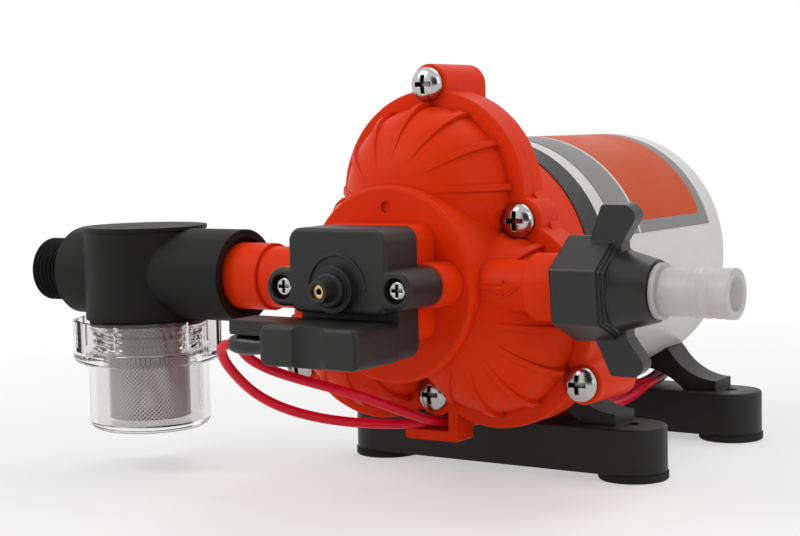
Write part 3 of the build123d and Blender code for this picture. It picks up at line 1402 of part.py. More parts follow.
with BuildPart() as bowl_oring:
    oring_low = -strainer_bottom - touch - oring_wire
    turn_bowl([(neck_radius + touch, oring_low), (neck_radius + oring_wire, oring_low),
               (neck_radius + oring_wire, oring_low + oring_wire),
               (neck_radius + touch, oring_low + oring_wire)])
finish(bowl_oring, "bowl_oring")

# Strainer screen: fine mesh cylinder with a closed floor, and the ring that carries it
screen_radius = 13.1
screen_wall = 0.5
screen_bottom = 46.9
screen_top = 12.0
ring_height = 3.0
ring_radius = neck_radius - neck_wall - loose_fit
with BuildPart() as strainer_screen:
    turn_bowl([(0, -screen_bottom), (screen_radius, -screen_bottom),
               (screen_radius, -screen_top - ring_height),
               (screen_radius - screen_wall, -screen_top - ring_height),
               (screen_radius - screen_wall, -screen_bottom + screen_wall),
               (0, -screen_bottom + screen_wall)])
finish(strainer_screen, "strainer_screen")
with BuildPart() as screen_cap:
    turn_bowl(box_ring(screen_radius - screen_wall, ring_radius,
                       -screen_top - ring_height + touch, ring_height - screen_top))
finish(screen_cap, "screen_cap")

# Brush gear: holder plate, carbon brushes on the commutator and the springs behind them
holder_thickness = 3.0
holder_setback = 1.5
commutator_room = 1.0
guide_wall = 1.5
spring_room = 6.0
holder_y = commutator_y + commutator_length - holder_thickness - holder_setback
holder_inner = commutator_radius + commutator_room
holder_outer = motor_radius - can_wall - cap_register_wall - touch
brush_width = 5.0
brush_length = 9.0
brush_height = 6.0
brush_gap = 0.05
with BuildPart() as brush_holder:
    turn_pump(box_outline(holder_inner, holder_outer, holder_y, holder_y + holder_thickness))
    box_reach = holder_inner + brush_length + spring_room
    for side in (1, -1):
        with BuildSketch(facing(holder_y)) as guide:
            with Locations((side * (holder_inner + box_reach) / 2, 0)):
                Rectangle(box_reach - holder_inner, brush_width + 2 * guide_wall)
        extrude(guide.sketch, amount=brush_height + guide_wall)
        with BuildSketch(facing(holder_y)) as guide_room:
            with Locations((side * ((holder_inner + box_reach) / 2 - guide_wall), 0)):
                Rectangle(box_reach - holder_inner, brush_width + 2 * brush_gap)
        extrude(guide_room.sketch, amount=brush_height + brush_gap, mode=Mode.SUBTRACT)
    extrude(discs(holder_y, bolt_spots, bolt_clear), amount=-holder_thickness, mode=Mode.SUBTRACT)
finish(brush_holder, "brush_holder")

with BuildPart() as carbon_brushes:
    for side in (1, -1):
        with BuildSketch(facing(holder_y - brush_gap)) as brush:
            with Locations((side * (commutator_radius + running_fit + brush_length / 2), 0)):
                Rectangle(brush_length, brush_width)
            Circle(commutator_radius + running_fit, mode=Mode.SUBTRACT)
        extrude(brush.sketch, amount=brush_height - brush_gap)
finish(carbon_brushes, "carbon_brushes")

spring_share = 0.8
with BuildPart() as brush_springs:
    spring_low = commutator_radius + running_fit + brush_length + touch
    spring_high = box_reach - guide_wall - touch
    for side in (1, -1):
        with BuildSketch(facing(holder_y - brush_height / 4)) as coil:
            with Locations((side * (spring_low + spring_high) / 2, 0)):
                Rectangle(spring_high - spring_low, brush_width * spring_share)
        extrude(coil.sketch, amount=brush_height / 2)
finish(brush_springs, "brush_springs")


# Motor leads: from the switch boots down through the hook and under the motor to the rear end cap
corner_share = 0.45


def lead_route(points):
    """Corner places, in this pump's own frame, from places given from the ports' axis."""
    return [Vector(x, port_y + y, axis_height + z) for x, y, z in points]


def corner_radii(places):
    """One radius per inner corner: a fixed share of the shorter run over the tangent of half the turn."""
    radii = []
    for before, here, after in zip(places, places[1:], places[2:]):
        turn_angle = (here - before).get_angle(after - here)
        shorter = min((here - before).length, (after - here).length)
        radii.append(corner_share * shorter / tan(radians(turn_angle / 2)))
    return radii


def lead(name, places):
    """A round lead along straight runs that arcs join."""
    radii = corner_radii(places)
    with BuildPart() as piece:
        with BuildLine() as path:
            FilletPolyline(*places, radius=radii)
        route = path.wires()[0]
        with BuildSketch(Plane(origin=route @ 0, z_dir=route % 0)):
            Circle(lead_radius)
        sweep(path=route)
    section_volume = pi * lead_radius ** 2 * route.length
    print(name, "length", round(route.length, 1), "radii", [round(r, 1) for r in radii],
          "volume ratio", round(piece.part.volume / section_volume, 4))
    return piece


boot_x = boot_end + boot_mouth - touch
front_boot = boot_ys[1] - port_y
rear_boot = boot_ys[0] - port_y
holder_back = holder_y + holder_thickness - port_y + loose_fit
left_hole = grommet_x - lead_pitch / 2
right_hole = grommet_x + lead_pitch / 2
under = -motor_radius
hole = -grommet_drop
lower_places = lead_route([
    (boot_x, front_boot, -tab_drop), (-38.3, front_boot, -tab_drop), (-41.3, -36.0, -20.2),
    (-41.8, -29.5, -26.5),
    (-40.6, -22.0, -33.0), (-36.5, -14.5, -38.0), (-29.5, -7.0, -41.5), (-21.5, 1.0, -43.7),
    (-12.5, 8.5, -44.6),
    (-4.5, 16.0, -44.8), (-1.0, 25.0, under - 3.8), (3.0, 34.0, under - 4.3), (10.0, 42.5, under - 4.2),
    (16.0, 52.0, under - 4.3), (18.6, 64.0, under - 4.2), (18.4, 78.0, under - 5.9),
    (18.0, 92.0, under - 7.1),
    (17.4, 106.0, under - 6.5), (16.2, 119.0, under - 4.3), (15.0, 133.0, under - 4.1),
    (14.4, 144.0, under - 0.9),
    (left_hole, 149.5, hole - 13.0), (left_hole + 0.1, 148.0, hole - 4.5), (left_hole, 141.5, hole),
    (left_hole, 127.0, hole), (left_hole, holder_back, hole - 2.0)])
upper_places = lead_route([
    (boot_x, rear_boot, -tab_drop), (-37.4, rear_boot, -tab_drop), (-38.6, -29.3, -20.3),
    (-34.3, -24.5, -24.6),
    (-27.5, -19.0, -27.8), (-20.0, -13.5, -30.6), (-13.0, -8.0, -33.4), (-7.8, -1.5, -36.9),
    (-4.2, 6.0, -40.4),
    (-0.6, 14.0, -43.8), (2.6, 23.5, under - 3.8), (7.0, 32.5, under - 4.3), (13.6, 40.5, under - 4.2),
    (19.4, 50.0, under - 4.3), (22.2, 63.0, under - 4.2), (22.0, 77.0, under - 5.9),
    (21.6, 91.0, under - 7.1),
    (21.0, 105.0, under - 6.5), (19.8, 118.0, under - 4.3), (18.6, 132.0, under - 4.1),
    (18.0, 143.0, under - 0.9),
    (right_hole, 148.5, hole - 13.0), (right_hole + 0.1, 147.0, hole - 4.5), (right_hole, 140.5, hole),
    (right_hole, 127.0, hole), (right_hole, holder_back, hole - 2.0)])
lower_lead = lead("lower_lead", lower_places)
finish(lower_lead, "lower_lead")
upper_lead = lead("upper_lead", upper_places)
finish(upper_lead, "upper_lead")
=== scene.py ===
"""Dresses the caravan water pump: finishes, leads, strainer gauze, label and studio."""
import math

import bmesh
import bpy
from bpy.props import FloatProperty, FloatVectorProperty, PointerProperty
from mathutils import Matrix, Vector


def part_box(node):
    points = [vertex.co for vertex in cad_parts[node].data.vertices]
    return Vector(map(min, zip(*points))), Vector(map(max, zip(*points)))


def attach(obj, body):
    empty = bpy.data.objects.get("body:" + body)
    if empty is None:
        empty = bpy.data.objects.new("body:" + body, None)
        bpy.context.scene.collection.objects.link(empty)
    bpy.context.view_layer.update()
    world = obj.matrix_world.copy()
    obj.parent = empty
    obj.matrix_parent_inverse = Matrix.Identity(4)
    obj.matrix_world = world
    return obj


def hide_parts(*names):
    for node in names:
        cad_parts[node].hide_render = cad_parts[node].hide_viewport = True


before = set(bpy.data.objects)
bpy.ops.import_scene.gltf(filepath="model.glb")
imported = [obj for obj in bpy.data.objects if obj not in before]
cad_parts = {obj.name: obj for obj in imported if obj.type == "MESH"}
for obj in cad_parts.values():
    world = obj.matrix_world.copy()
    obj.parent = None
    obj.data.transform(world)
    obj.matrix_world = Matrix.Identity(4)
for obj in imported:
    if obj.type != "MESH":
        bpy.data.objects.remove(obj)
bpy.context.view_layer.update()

bl_info = {
    "name": "Caravan Water Pump",
    "version": (1, 0, 0),
    "blender": (4, 5, 0),
    "location": "3D Viewport > Sidebar > Water Pump",
    "description": "Finishes and soft pieces of a caravan water pump, round its CAD frame",
    "category": "Object",
}

X, Y, Z = range(3)


def middle(node, axis):
    """The middle of a CAD node at rest along one axis."""
    low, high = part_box(node)
    return (low[axis] + high[axis]) / 2


def reach_from(centre, node, axis):
    """How far a CAD node reaches upwards or outwards from a centre along one axis."""
    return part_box(node)[1][axis] - centre


# Axes of the ports, the motor and the strainer, and the radii that patterns run round, in metres
PORT_Y = middle("hose_barb", Y)
MOTOR_Z = middle("motor_can", Z)
STRAINER_X = middle("strainer_screen", X)
LABEL_RADIUS = reach_from(MOTOR_Z, "motor_label", Z)
SCREEN_RADIUS = reach_from(STRAINER_X, "strainer_screen", X)

# Camera: its place in metres, and how far it is turned, tilted down and rolled, in degrees
CAMERA_PLACE = (0.276, -0.5055, 0.1089)
CAMERA_ANGLES = (34.0, 4.7, -1.3)
SENSOR_WIDTH = 36.0
CLIP_START = 0.01

# Lengths of the effects, in metres: edges, the reach of the painted shade in recesses, the heights of grain and
# relief, and the label's line
SOFT_EDGE = 0.0004
PLASTIC_RECESS, METAL_RECESS = 0.002, 0.003
METAL_GRAIN, LABEL_GRAIN, FROST_GRAIN, WIRE_RELIEF = 0.00001, 0.00001, 0.00003, 0.0001
LABEL_EDGE = 0.0002
LABEL_LINE_IN, LABEL_LINE_OUT = 0.0005, 0.0009
GAUZE_PITCH = 0.0014

# Samples and shares of the effects: where the painted shade in a recess is darkest and where it ends, how dark
# it gets, and the wire
SAMPLES = 6
RECESS_FULL, RECESS_NONE = 0.25, 0.85
PLASTIC_SHADE, METAL_SHADE = 0.7, 0.02
WIRE_SHARE = 0.5

# Leads: real lengths in metres, as part.py's routes give them
LOWER_LENGTH = 0.269
UPPER_LENGTH = 0.257

# Studio: places and sizes in metres
STUDIO_MIDDLE = (0.0, -0.02, 0.06)
KEY_PLACE = (-0.9, -1.1, 1.2)
FILL_PLACE = (1.3, -0.6, 0.7)
TOP_PLACE = (0.1, 0.6, 1.3)
LAMP_SIZE = 0.9
TOP_LAMP_SIZE, TOP_LAMP_SHARE = 0.8, 0.5
CARD_PLACE = (0.75, -1.2, 0.35)
CARD_SIZE = 1.3
FLOOR_SIZE = 12.0
GLOW_START, GLOW_END, GLOW_LEAST = 0.15, 0.45, 0.5


def colour(name, description, default):
    """A colour that the user can change, in linear values."""
    return FloatVectorProperty(
        name=name, description=description, subtype="COLOR", size=3, min=0, max=1, default=default)


def length(name, description, default):
    """A length that the user can change, in metres."""
    return FloatProperty(
        name=name, description=description, unit="LENGTH", min=0, default=default, precision=5)


def share(name, description, default):
    """A share from nought to one that the user can change."""
    return FloatProperty(name=name, description=description, subtype="FACTOR", min=0, max=1, default=default)


def number(name, description, default, least=0.0):
    """A plain number that the user can change."""
    return FloatProperty(name=name, description=description, min=least, default=default)


class PumpColours(bpy.types.PropertyGroup):
    """Colours of the surfaces, in linear values."""

    housing: colour("Housing", "Orange moulding of the head and the drive housing", (0.78, 0.036, 0.0015))
    black: colour("Black moulding", "Base, switch, strainer, nut and motor ring", (0.012, 0.0115, 0.011))
    can: colour("Motor can", "Paint on the motor can", (0.72, 0.71, 0.70))
    label_panel: colour("Label panel", "Wide panel of the motor label", (0.64, 0.085, 0.018))
    label_band: colour("Label band", "Grey band and border of the motor label", (0.29, 0.285, 0.28))
    lead: colour("Lead", "Insulation of the two leads", (0.76, 0.005, 0.03))
    barb: colour("Barb", "Frosted plastic of the hose barb", (0.76, 0.73, 0.73))
    bowl: colour("Bowl", "Clear plastic of the strainer bowl", (0.86, 0.85, 0.85))
    # Painted light on the strainer wires: a painted highlight on their crests and painted shade between them.
    wire_highlight: colour("Wire crest", "Strainer wires where they are nearest", (1.0, 0.97, 0.96))
    wire_shade: colour("Wire side", "Strainer wires between their crests", (0.14, 0.125, 0.12))
    screw: colour("Screw", "Bright metal of the screws", (0.5, 0.49, 0.48))
    brass: colour("Brass", "Switch terminals and adjusting screw", (0.72, 0.5, 0.2))
    steel: colour("Steel", "Bolts, bearings, shaft, core and springs", (0.48, 0.48, 0.5))
    copper: colour("Copper", "Armature windings and commutator", (0.72, 0.36, 0.2))
    zinc: colour("Zinc", "Cast drive cam and spring seat", (0.55, 0.56, 0.58))
    ferrite: colour("Ferrite", "Magnets", (0.06, 0.06, 0.065))
    carbon: colour("Carbon", "Brushes", (0.03, 0.03, 0.03))
    pale: colour("Pale moulding", "Mouldings inside the pump, the motor and the switch", (0.7, 0.69, 0.64))
    switch_block: colour("Switch block", "Moulding of the microswitch", (0.1, 0.03, 0.02))
    floor: colour("Floor", "Studio floor", (0.94, 0.94, 0.94))
    card: colour("Card", "Dark card that the gloss of the pieces shows", (0.02, 0.02, 0.02))


class PumpSizes(bpy.types.PropertyGroup):
    """Sizes of the dressed pieces, in metres."""

    lead_diameter: length("Lead diameter", "Outside of the leads' insulation", 0.003)
    gauze_pitch: length("Gauze pitch", "Distance between the wires of the strainer screen", GAUZE_PITCH)
    label_band_end: length("Band end", "From the port axis to the end of the label's grey band", 0.073)
    label_panel_end: length("Panel end", "From the port axis to the end of the label's panel", 0.1205)
    label_panel_half: length("Panel half width", "Round the can from its top to the panel's side", 0.0504)
    label_corner: length("Panel corner", "Radius of the panel's rear corners", 0.003)


class PumpStudio(bpy.types.PropertyGroup):
    """Light levels and lens of the studio."""

    key: number("Key light", "Power of the large lamp at the upper left", 9.0)
    fill: number("Fill light", "Power of the lamp at the right", 4.0)
    sky: share("Sky", "Strength of the world's even light", 0.55)
    lens: number("Lens", "Focal length of the camera, in millimetres", 76.55, least=1.0)


# Node helpers
def new_group(name, inputs, outputs):
    """A shader node group with these float inputs and these outputs."""
    tree = bpy.data.node_groups.new(name, "ShaderNodeTree")
    for label, default in inputs:
        socket = tree.interface.new_socket(name=label, in_out="INPUT", socket_type="NodeSocketFloat")
        socket.default_value = default
    for label in outputs:
        tree.interface.new_socket(name=label, in_out="OUTPUT", socket_type="NodeSocketFloat")
    return tree, tree.nodes.new("NodeGroupInput"), tree.nodes.new("NodeGroupOutput")


def put(tree, kind, fields=None, **inputs):
    """A new node; its inputs are values or sockets, by name with underscores or by i and a number."""
    node = tree.nodes.new(kind)
    for key, value in (fields or {}).items():
        setattr(node, key, value)
    for key, value in inputs.items():
        numbered = key[0] == "i" and key[1:].isdigit()
        socket = node.inputs[int(key[1:])] if numbered else node.inputs[key.replace("_", " ")]
        if isinstance(value, bpy.types.NodeSocket):
            tree.links.new(value, socket)
        else:
            socket.default_value = value
    return node


def maths(tree, operation, first, second=0.0):
    """A maths node's result."""
    return put(tree, "ShaderNodeMath", {"operation": operation}, i0=first, i1=second).outputs[0]


def ramp(tree, value, low, high, to_low=0.0, to_high=1.0):
    """The value moved smoothly from one range to another and clamped."""
    smooth = {"interpolation_type": "SMOOTHSTEP"}
    node = put(tree, "ShaderNodeMapRange", smooth, i0=value, i1=low, i2=high, i3=to_low, i4=to_high)
    return node.outputs[0]


def object_place(tree):
    """The Object coordinates."""
    return put(tree, "ShaderNodeTexCoord").outputs["Object"]


def object_axes(tree):
    """The Object coordinates' three axes."""
    return put(tree, "ShaderNodeSeparateXYZ", Vector=object_place(tree)).outputs


def noise(tree, place, scale, detail, roughness):
    """A noise texture's value."""
    node = put(tree, "ShaderNodeTexNoise", Vector=place, Scale=scale, Detail=detail, Roughness=roughness)
    return node.outputs[0]


def mixed(tree, share_of_second, first, second, blend="MIX"):
    """Two colours mixed; each is three channels or a socket."""
    mix = put(tree, "ShaderNodeMix", {"data_type": "RGBA", "blend_type": blend}, i0=share_of_second)
    for socket, part in ((mix.inputs[6], first), (mix.inputs[7], second)):
        if isinstance(part, bpy.types.NodeSocket):
            tree.links.new(part, socket)
        else:
            socket.default_value = (*part, 1)
    return mix.outputs[2]


def moulded_grain():
    """Fine spark-eroded grain and slow patches, as on moulded plastic."""
    tree, enter, leave = new_group("moulded_grain", [("Grain Scale", 2600.0), ("Patch Scale", 60.0)],
                                   ["Height", "Patches"])
    place = object_place(tree)
    fine = noise(tree, place, enter.outputs["Grain Scale"], detail=2.0, roughness=0.6)
    slow = noise(tree, place, enter.outputs["Patch Scale"], detail=3.0, roughness=0.55)
    tree.links.new(fine, leave.inputs["Height"])
    tree.links.new(ramp(tree, slow, low=0.35, high=0.65), leave.inputs["Patches"])
    return tree


def fine_scratches():
    """Thin scratches along the pump, as on handled smooth surfaces."""
    tree, enter, leave = new_group("fine_scratches", [("Density", 220.0), ("Stretch", 12.0)], ["Mask"])
    across, deep, high = object_axes(tree)
    along = maths(tree, "DIVIDE", deep, enter.outputs["Stretch"])
    joined = put(tree, "ShaderNodeCombineXYZ", X=across, Y=along, Z=high).outputs[0]
    lines = noise(tree, joined, enter.outputs["Density"], detail=6.0, roughness=0.8)
    tree.links.new(ramp(tree, lines, low=0.6, high=0.72), leave.inputs["Mask"])
    return tree


def woven_wire():
    """Slanting wires that cross round an upright cylinder: their cover and their height."""
    tree, enter, leave = new_group(
        "woven_wire", [("Radius", SCREEN_RADIUS), ("Pitch", GAUZE_PITCH), ("Wire Share", WIRE_SHARE)],
        ["Cover", "Height"])
    across, deep, high = object_axes(tree)
    aside = maths(tree, "SUBTRACT", across, STRAINER_X)
    behind = maths(tree, "SUBTRACT", deep, PORT_Y)
    round_way = maths(tree, "MULTIPLY", maths(tree, "ARCTAN2", behind, aside), enter.outputs["Radius"])
    heights = []
    for slant in ("ADD", "SUBTRACT"):
        way = maths(tree, slant, round_way, high)
        steps = maths(tree, "DIVIDE", way, enter.outputs["Pitch"])
        wave = maths(tree, "PINGPONG", steps, 0.5)
        heights.append(maths(tree, "MULTIPLY", wave, 2.0))
    height = maths(tree, "MAXIMUM", heights[0], heights[1])
    open_share = maths(tree, "SUBTRACT", 1.0, enter.outputs["Wire Share"])
    cover = maths(tree, "GREATER_THAN", height, open_share)
    tree.links.new(cover, leave.inputs["Cover"])
    tree.links.new(height, leave.inputs["Height"])
    return tree


EFFECTS = {"moulded_grain": moulded_grain, "fine_scratches": fine_scratches, "woven_wire": woven_wire}


def group_node(tree, name, **inputs):
    """One of the shared effects, built once and placed in a material."""
    node = tree.nodes.new("ShaderNodeGroup")
    node.node_tree = bpy.data.node_groups.get(name) or EFFECTS[name]()
    for key, value in inputs.items():
        node.inputs[key.replace("_", " ")].default_value = value
    return node


def tinted(tree, base, mask, lighter):
    """The base colour, made lighter or darker where the mask is full."""
    return mixed(tree, mask, base, [min(1.0, channel * lighter) for channel in base])


def principled(name):
    """A new material, its node tree and its shader."""
    material = bpy.data.materials.new(name)
    material.use_nodes = True
    tree = material.node_tree
    return material, tree, tree.nodes["Principled BSDF"]


def add_bump(tree, shader, height, strength, distance):
    """A bump from a height over softened edges, for the shader's normal."""
    soft = put(tree, "ShaderNodeBevel", {"samples": SAMPLES}, Radius=SOFT_EDGE)
    bump = put(tree, "ShaderNodeBump", Height=height, Strength=strength, Distance=distance)
    tree.links.new(soft.outputs[0], bump.inputs["Normal"])
    tree.links.new(bump.outputs[0], shader.inputs["Normal"])


def painted_recess_shade(tree, surface, reach, depth):
    """The surface colour with painted shade: darker in the corners and recesses that are narrower than the
    reach.
    """
    # Painted shade: ambient occlusion darkens the colour where neighbouring surfaces come close.
    near = put(tree, "ShaderNodeAmbientOcclusion", {"samples": SAMPLES, "only_local": True}, Distance=reach)
    shade = ramp(tree, near.outputs["AO"], RECESS_FULL, RECESS_NONE, to_low=depth)
    grey = put(tree, "ShaderNodeCombineXYZ", X=shade, Y=shade, Z=shade).outputs[0]
    return mixed(tree, 1.0, surface, grey, "MULTIPLY")


def moulded(name, base, rough, grain=0.00004, grain_scale=2600.0, lighter=1.12, spread=0.08, gloss=0.5):
    """Moulded plastic: fine grain, slow tone patches and a roughness that wanders a little."""
    material, tree, shader = principled(name)
    effect = group_node(tree, "moulded_grain", Grain_Scale=grain_scale)
    wear = group_node(tree, "fine_scratches")
    patches = effect.outputs["Patches"]
    tone = tinted(tree, base, patches, lighter)
    # Painted shade: the plastic's colour is darkened in its corners and recesses.
    tree.links.new(painted_recess_shade(tree, tone, PLASTIC_RECESS, PLASTIC_SHADE), shader.inputs["Base Color"])
    shader.inputs["Specular IOR Level"].default_value = gloss
    uneven = ramp(tree, patches, 0.0, 1.0, to_low=rough - spread / 2, to_high=rough + spread / 2)
    worn = maths(tree, "MULTIPLY", wear.outputs["Mask"], spread)
    tree.links.new(maths(tree, "ADD", uneven, worn), shader.inputs["Roughness"])
    add_bump(tree, shader, effect.outputs["Height"], strength=0.5, distance=grain)
    return material


def metal(name, base, rough, spread=0.1):
    """Bare metal with fine turned lines and uneven polish."""
    material, tree, shader = principled(name)
    lines = group_node(tree, "fine_scratches", Density=400.0, Stretch=4.0)
    effect = group_node(tree, "moulded_grain", Grain_Scale=900.0, Patch_Scale=140.0)
    tone = tinted(tree, base, effect.outputs["Patches"], lighter=0.9)
    # Painted shade: the metal's colour is darkened almost to black in its corners and recesses, such as the
    # screws' crosses.
    tree.links.new(painted_recess_shade(tree, tone, METAL_RECESS, METAL_SHADE), shader.inputs["Base Color"])
    uneven = ramp(tree, lines.outputs["Mask"], 0.0, 1.0, to_low=rough, to_high=rough + spread)
    tree.links.new(uneven, shader.inputs["Roughness"])
    shader.inputs["Metallic"].default_value = 1.0
    add_bump(tree, shader, lines.outputs["Mask"], strength=0.4, distance=METAL_GRAIN)
    return material


def clear_plastic(name, base):
    """Clear moulding with a faint haze."""
    material, tree, shader = principled(name)
    effect = group_node(tree, "moulded_grain", Grain_Scale=500.0, Patch_Scale=90.0)
    haze = ramp(tree, effect.outputs["Patches"], 0.0, 1.0, to_low=0.03, to_high=0.07)
    tree.links.new(haze, shader.inputs["Roughness"])
    shader.inputs["Base Color"].default_value = (*base, 1)
    shader.inputs["Transmission Weight"].default_value = 1.0
    shader.inputs["IOR"].default_value = 1.42
    return material


def frosted(name, base):
    """Milky plastic that lets light through but not the view."""
    material, tree, shader = principled(name)
    effect = group_node(tree, "moulded_grain", Grain_Scale=1200.0, Patch_Scale=70.0)
    tone = tinted(tree, base, effect.outputs["Patches"], lighter=1.08)
    tree.links.new(tone, shader.inputs["Base Color"])
    shader.inputs["Roughness"].default_value = 0.34
    shader.inputs["Transmission Weight"].default_value = 0.45
    shader.inputs["Subsurface Weight"].default_value = 0.4
    shader.inputs["Subsurface Radius"].default_value = (1.0, 1.0, 1.0)
    shader.inputs["Subsurface Scale"].default_value = 0.004
    shader.inputs["IOR"].default_value = 1.5
    add_bump(tree, shader, effect.outputs["Height"], strength=0.4, distance=FROST_GRAIN)
    return material


def gauze(name, colours, pitch):
    """Woven steel wire with open meshes, with a painted highlight on the wires' crests and painted shade
    between them.
    """
    material, tree, shader = principled(name)
    weave = group_node(tree, "woven_wire", Pitch=pitch, Wire_Share=WIRE_SHARE)
    # Painted highlight where the wires are highest, painted shade on their sides.
    crest = ramp(tree, weave.outputs["Height"], low=0.55, high=0.85)
    tree.links.new(mixed(tree, crest, colours.wire_shade, colours.wire_highlight), shader.inputs["Base Color"])
    shader.inputs["Metallic"].default_value = 0.3
    shader.inputs["Roughness"].default_value = 0.42
    tree.links.new(weave.outputs["Cover"], shader.inputs["Alpha"])
    add_bump(tree, shader, weave.outputs["Height"], strength=0.6, distance=WIRE_RELIEF)
    return material


def label_print(name, colours, sizes):
    """The motor label, with nothing printed on its grey band, pale line, wide panel and grey border."""
    material, tree, shader = principled(name)
    across, deep, high = object_axes(tree)
    along = maths(tree, "SUBTRACT", deep, PORT_Y)
    up = maths(tree, "SUBTRACT", high, MOTOR_Z)
    angle = maths(tree, "ABSOLUTE", maths(tree, "ARCTAN2", across, up))
    round_way = maths(tree, "MULTIPLY", angle, LABEL_RADIUS)
    corner = sizes.label_corner
    past_end = maths(tree, "SUBTRACT", along, sizes.label_panel_end - corner)
    past_side = maths(tree, "SUBTRACT", round_way, sizes.label_panel_half - corner)
    squares = [maths(tree, "POWER", maths(tree, "MAXIMUM", past, 0.0), 2.0) for past in (past_end, past_side)]
    reach = maths(tree, "SQRT", maths(tree, "ADD", squares[0], squares[1]))
    band_end = sizes.label_band_end
    in_panel = maths(tree, "MULTIPLY", ramp(tree, along, band_end - LABEL_EDGE, band_end + LABEL_EDGE),
                     ramp(tree, reach, corner + LABEL_EDGE, corner - LABEL_EDGE))
    printed = mixed(tree, in_panel, colours.label_band, colours.label_panel)
    line = maths(tree, "ABSOLUTE", maths(tree, "SUBTRACT", along, band_end))
    on_line = ramp(tree, line, LABEL_LINE_OUT, LABEL_LINE_IN)
    tree.links.new(mixed(tree, on_line, printed, colours.can), shader.inputs["Base Color"])
    effect = group_node(tree, "moulded_grain", Grain_Scale=700.0, Patch_Scale=45.0)
    uneven = ramp(tree, effect.outputs["Patches"], 0.0, 1.0, to_low=0.36, to_high=0.44)
    tree.links.new(uneven, shader.inputs["Roughness"])
    shader.inputs["Specular IOR Level"].default_value = 0.06
    add_bump(tree, shader, effect.outputs["Height"], strength=0.2, distance=LABEL_GRAIN)
    return material


def finish_nodes(material, *names):
    """Gives CAD nodes their finished material."""
    for name in names:
        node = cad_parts[name]
        node.data.materials.clear()
        node.data.materials.append(material)


def settings():
    """The scene's three property groups: colours, sizes and studio."""
    scene = bpy.context.scene
    return scene.pump_colours, scene.pump_sizes, scene.pump_studio


class PUMP_OT_camera(bpy.types.Operator):
    """Place the camera where the photograph was taken from"""

    bl_idname = "pump.camera"
    bl_label = "Camera"

    def execute(self, context):
        studio = settings()[2]
        turned, down, rolled = (math.radians(angle) for angle in CAMERA_ANGLES)
        level = math.cos(down)
        ahead = Vector((-math.sin(turned) * level, math.cos(turned) * level, -math.sin(down)))
        right = Vector((math.cos(turned), math.sin(turned), 0.0))
        up = right.cross(ahead)
        rolled_right = math.cos(rolled) * right + math.sin(rolled) * up
        rolled_up = math.cos(rolled) * up - math.sin(rolled) * right
        camera = bpy.data.objects.new("camera", bpy.data.cameras.new("camera"))
        camera.data.lens = studio.lens
        camera.data.sensor_width = SENSOR_WIDTH
        camera.data.clip_start = CLIP_START
        camera.matrix_world = Matrix.Translation(CAMERA_PLACE) @ Matrix(
            (rolled_right, rolled_up, -ahead)).transposed().to_4x4()
        context.scene.collection.objects.link(camera)
        context.scene.camera = camera
        return {"FINISHED"}


# The leads' routes, the same points as in part.py, in metres
LOWER_ROUTE = [
    (-0.0309, -0.1323, 0.0487), (-0.0383, -0.1323, 0.0487), (-0.0413, -0.1285, 0.0438),
    (-0.0418, -0.1220, 0.0375), (-0.0406, -0.1145, 0.0310), (-0.0365, -0.1070, 0.0260),
    (-0.0295, -0.0995, 0.0225), (-0.0215, -0.0915, 0.0203), (-0.0125, -0.0840, 0.0194),
    (-0.0045, -0.0765, 0.0192), (-0.0010, -0.0675, 0.0191), (0.0030, -0.0585, 0.0186),
    (0.0100, -0.0500, 0.0187), (0.0160, -0.0405, 0.0186), (0.0186, -0.0285, 0.0187),
    (0.0184, -0.0145, 0.0170), (0.0180, -0.0005, 0.0158), (0.0174, 0.0135, 0.0164),
    (0.0162, 0.0265, 0.0186), (0.0150, 0.0405, 0.0188), (0.0144, 0.0515, 0.0220),
    (0.0142, 0.0570, 0.0290), (0.0143, 0.0555, 0.0375), (0.0142, 0.0490, 0.0420),
    (0.0142, 0.0345, 0.0420), (0.0142, 0.0258, 0.0400)]
UPPER_ROUTE = [
    (-0.0309, -0.1254, 0.0487), (-0.0374, -0.1254, 0.0487), (-0.0386, -0.1218, 0.0437),
    (-0.0343, -0.1170, 0.0394), (-0.0275, -0.1115, 0.0362), (-0.0200, -0.1060, 0.0334),
    (-0.0130, -0.1005, 0.0306), (-0.0078, -0.0940, 0.0271), (-0.0042, -0.0865, 0.0236),
    (-0.0006, -0.0785, 0.0202), (0.0026, -0.0690, 0.0191), (0.0070, -0.0600, 0.0186),
    (0.0136, -0.0520, 0.0187), (0.0194, -0.0425, 0.0186), (0.0222, -0.0295, 0.0187),
    (0.0220, -0.0155, 0.0170), (0.0216, -0.0015, 0.0158), (0.0210, 0.0125, 0.0164),
    (0.0198, 0.0255, 0.0186), (0.0186, 0.0395, 0.0188), (0.0180, 0.0505, 0.0220),
    (0.0178, 0.0560, 0.0290), (0.0179, 0.0545, 0.0375), (0.0178, 0.0480, 0.0420),
    (0.0178, 0.0345, 0.0420), (0.0178, 0.0258, 0.0400)]


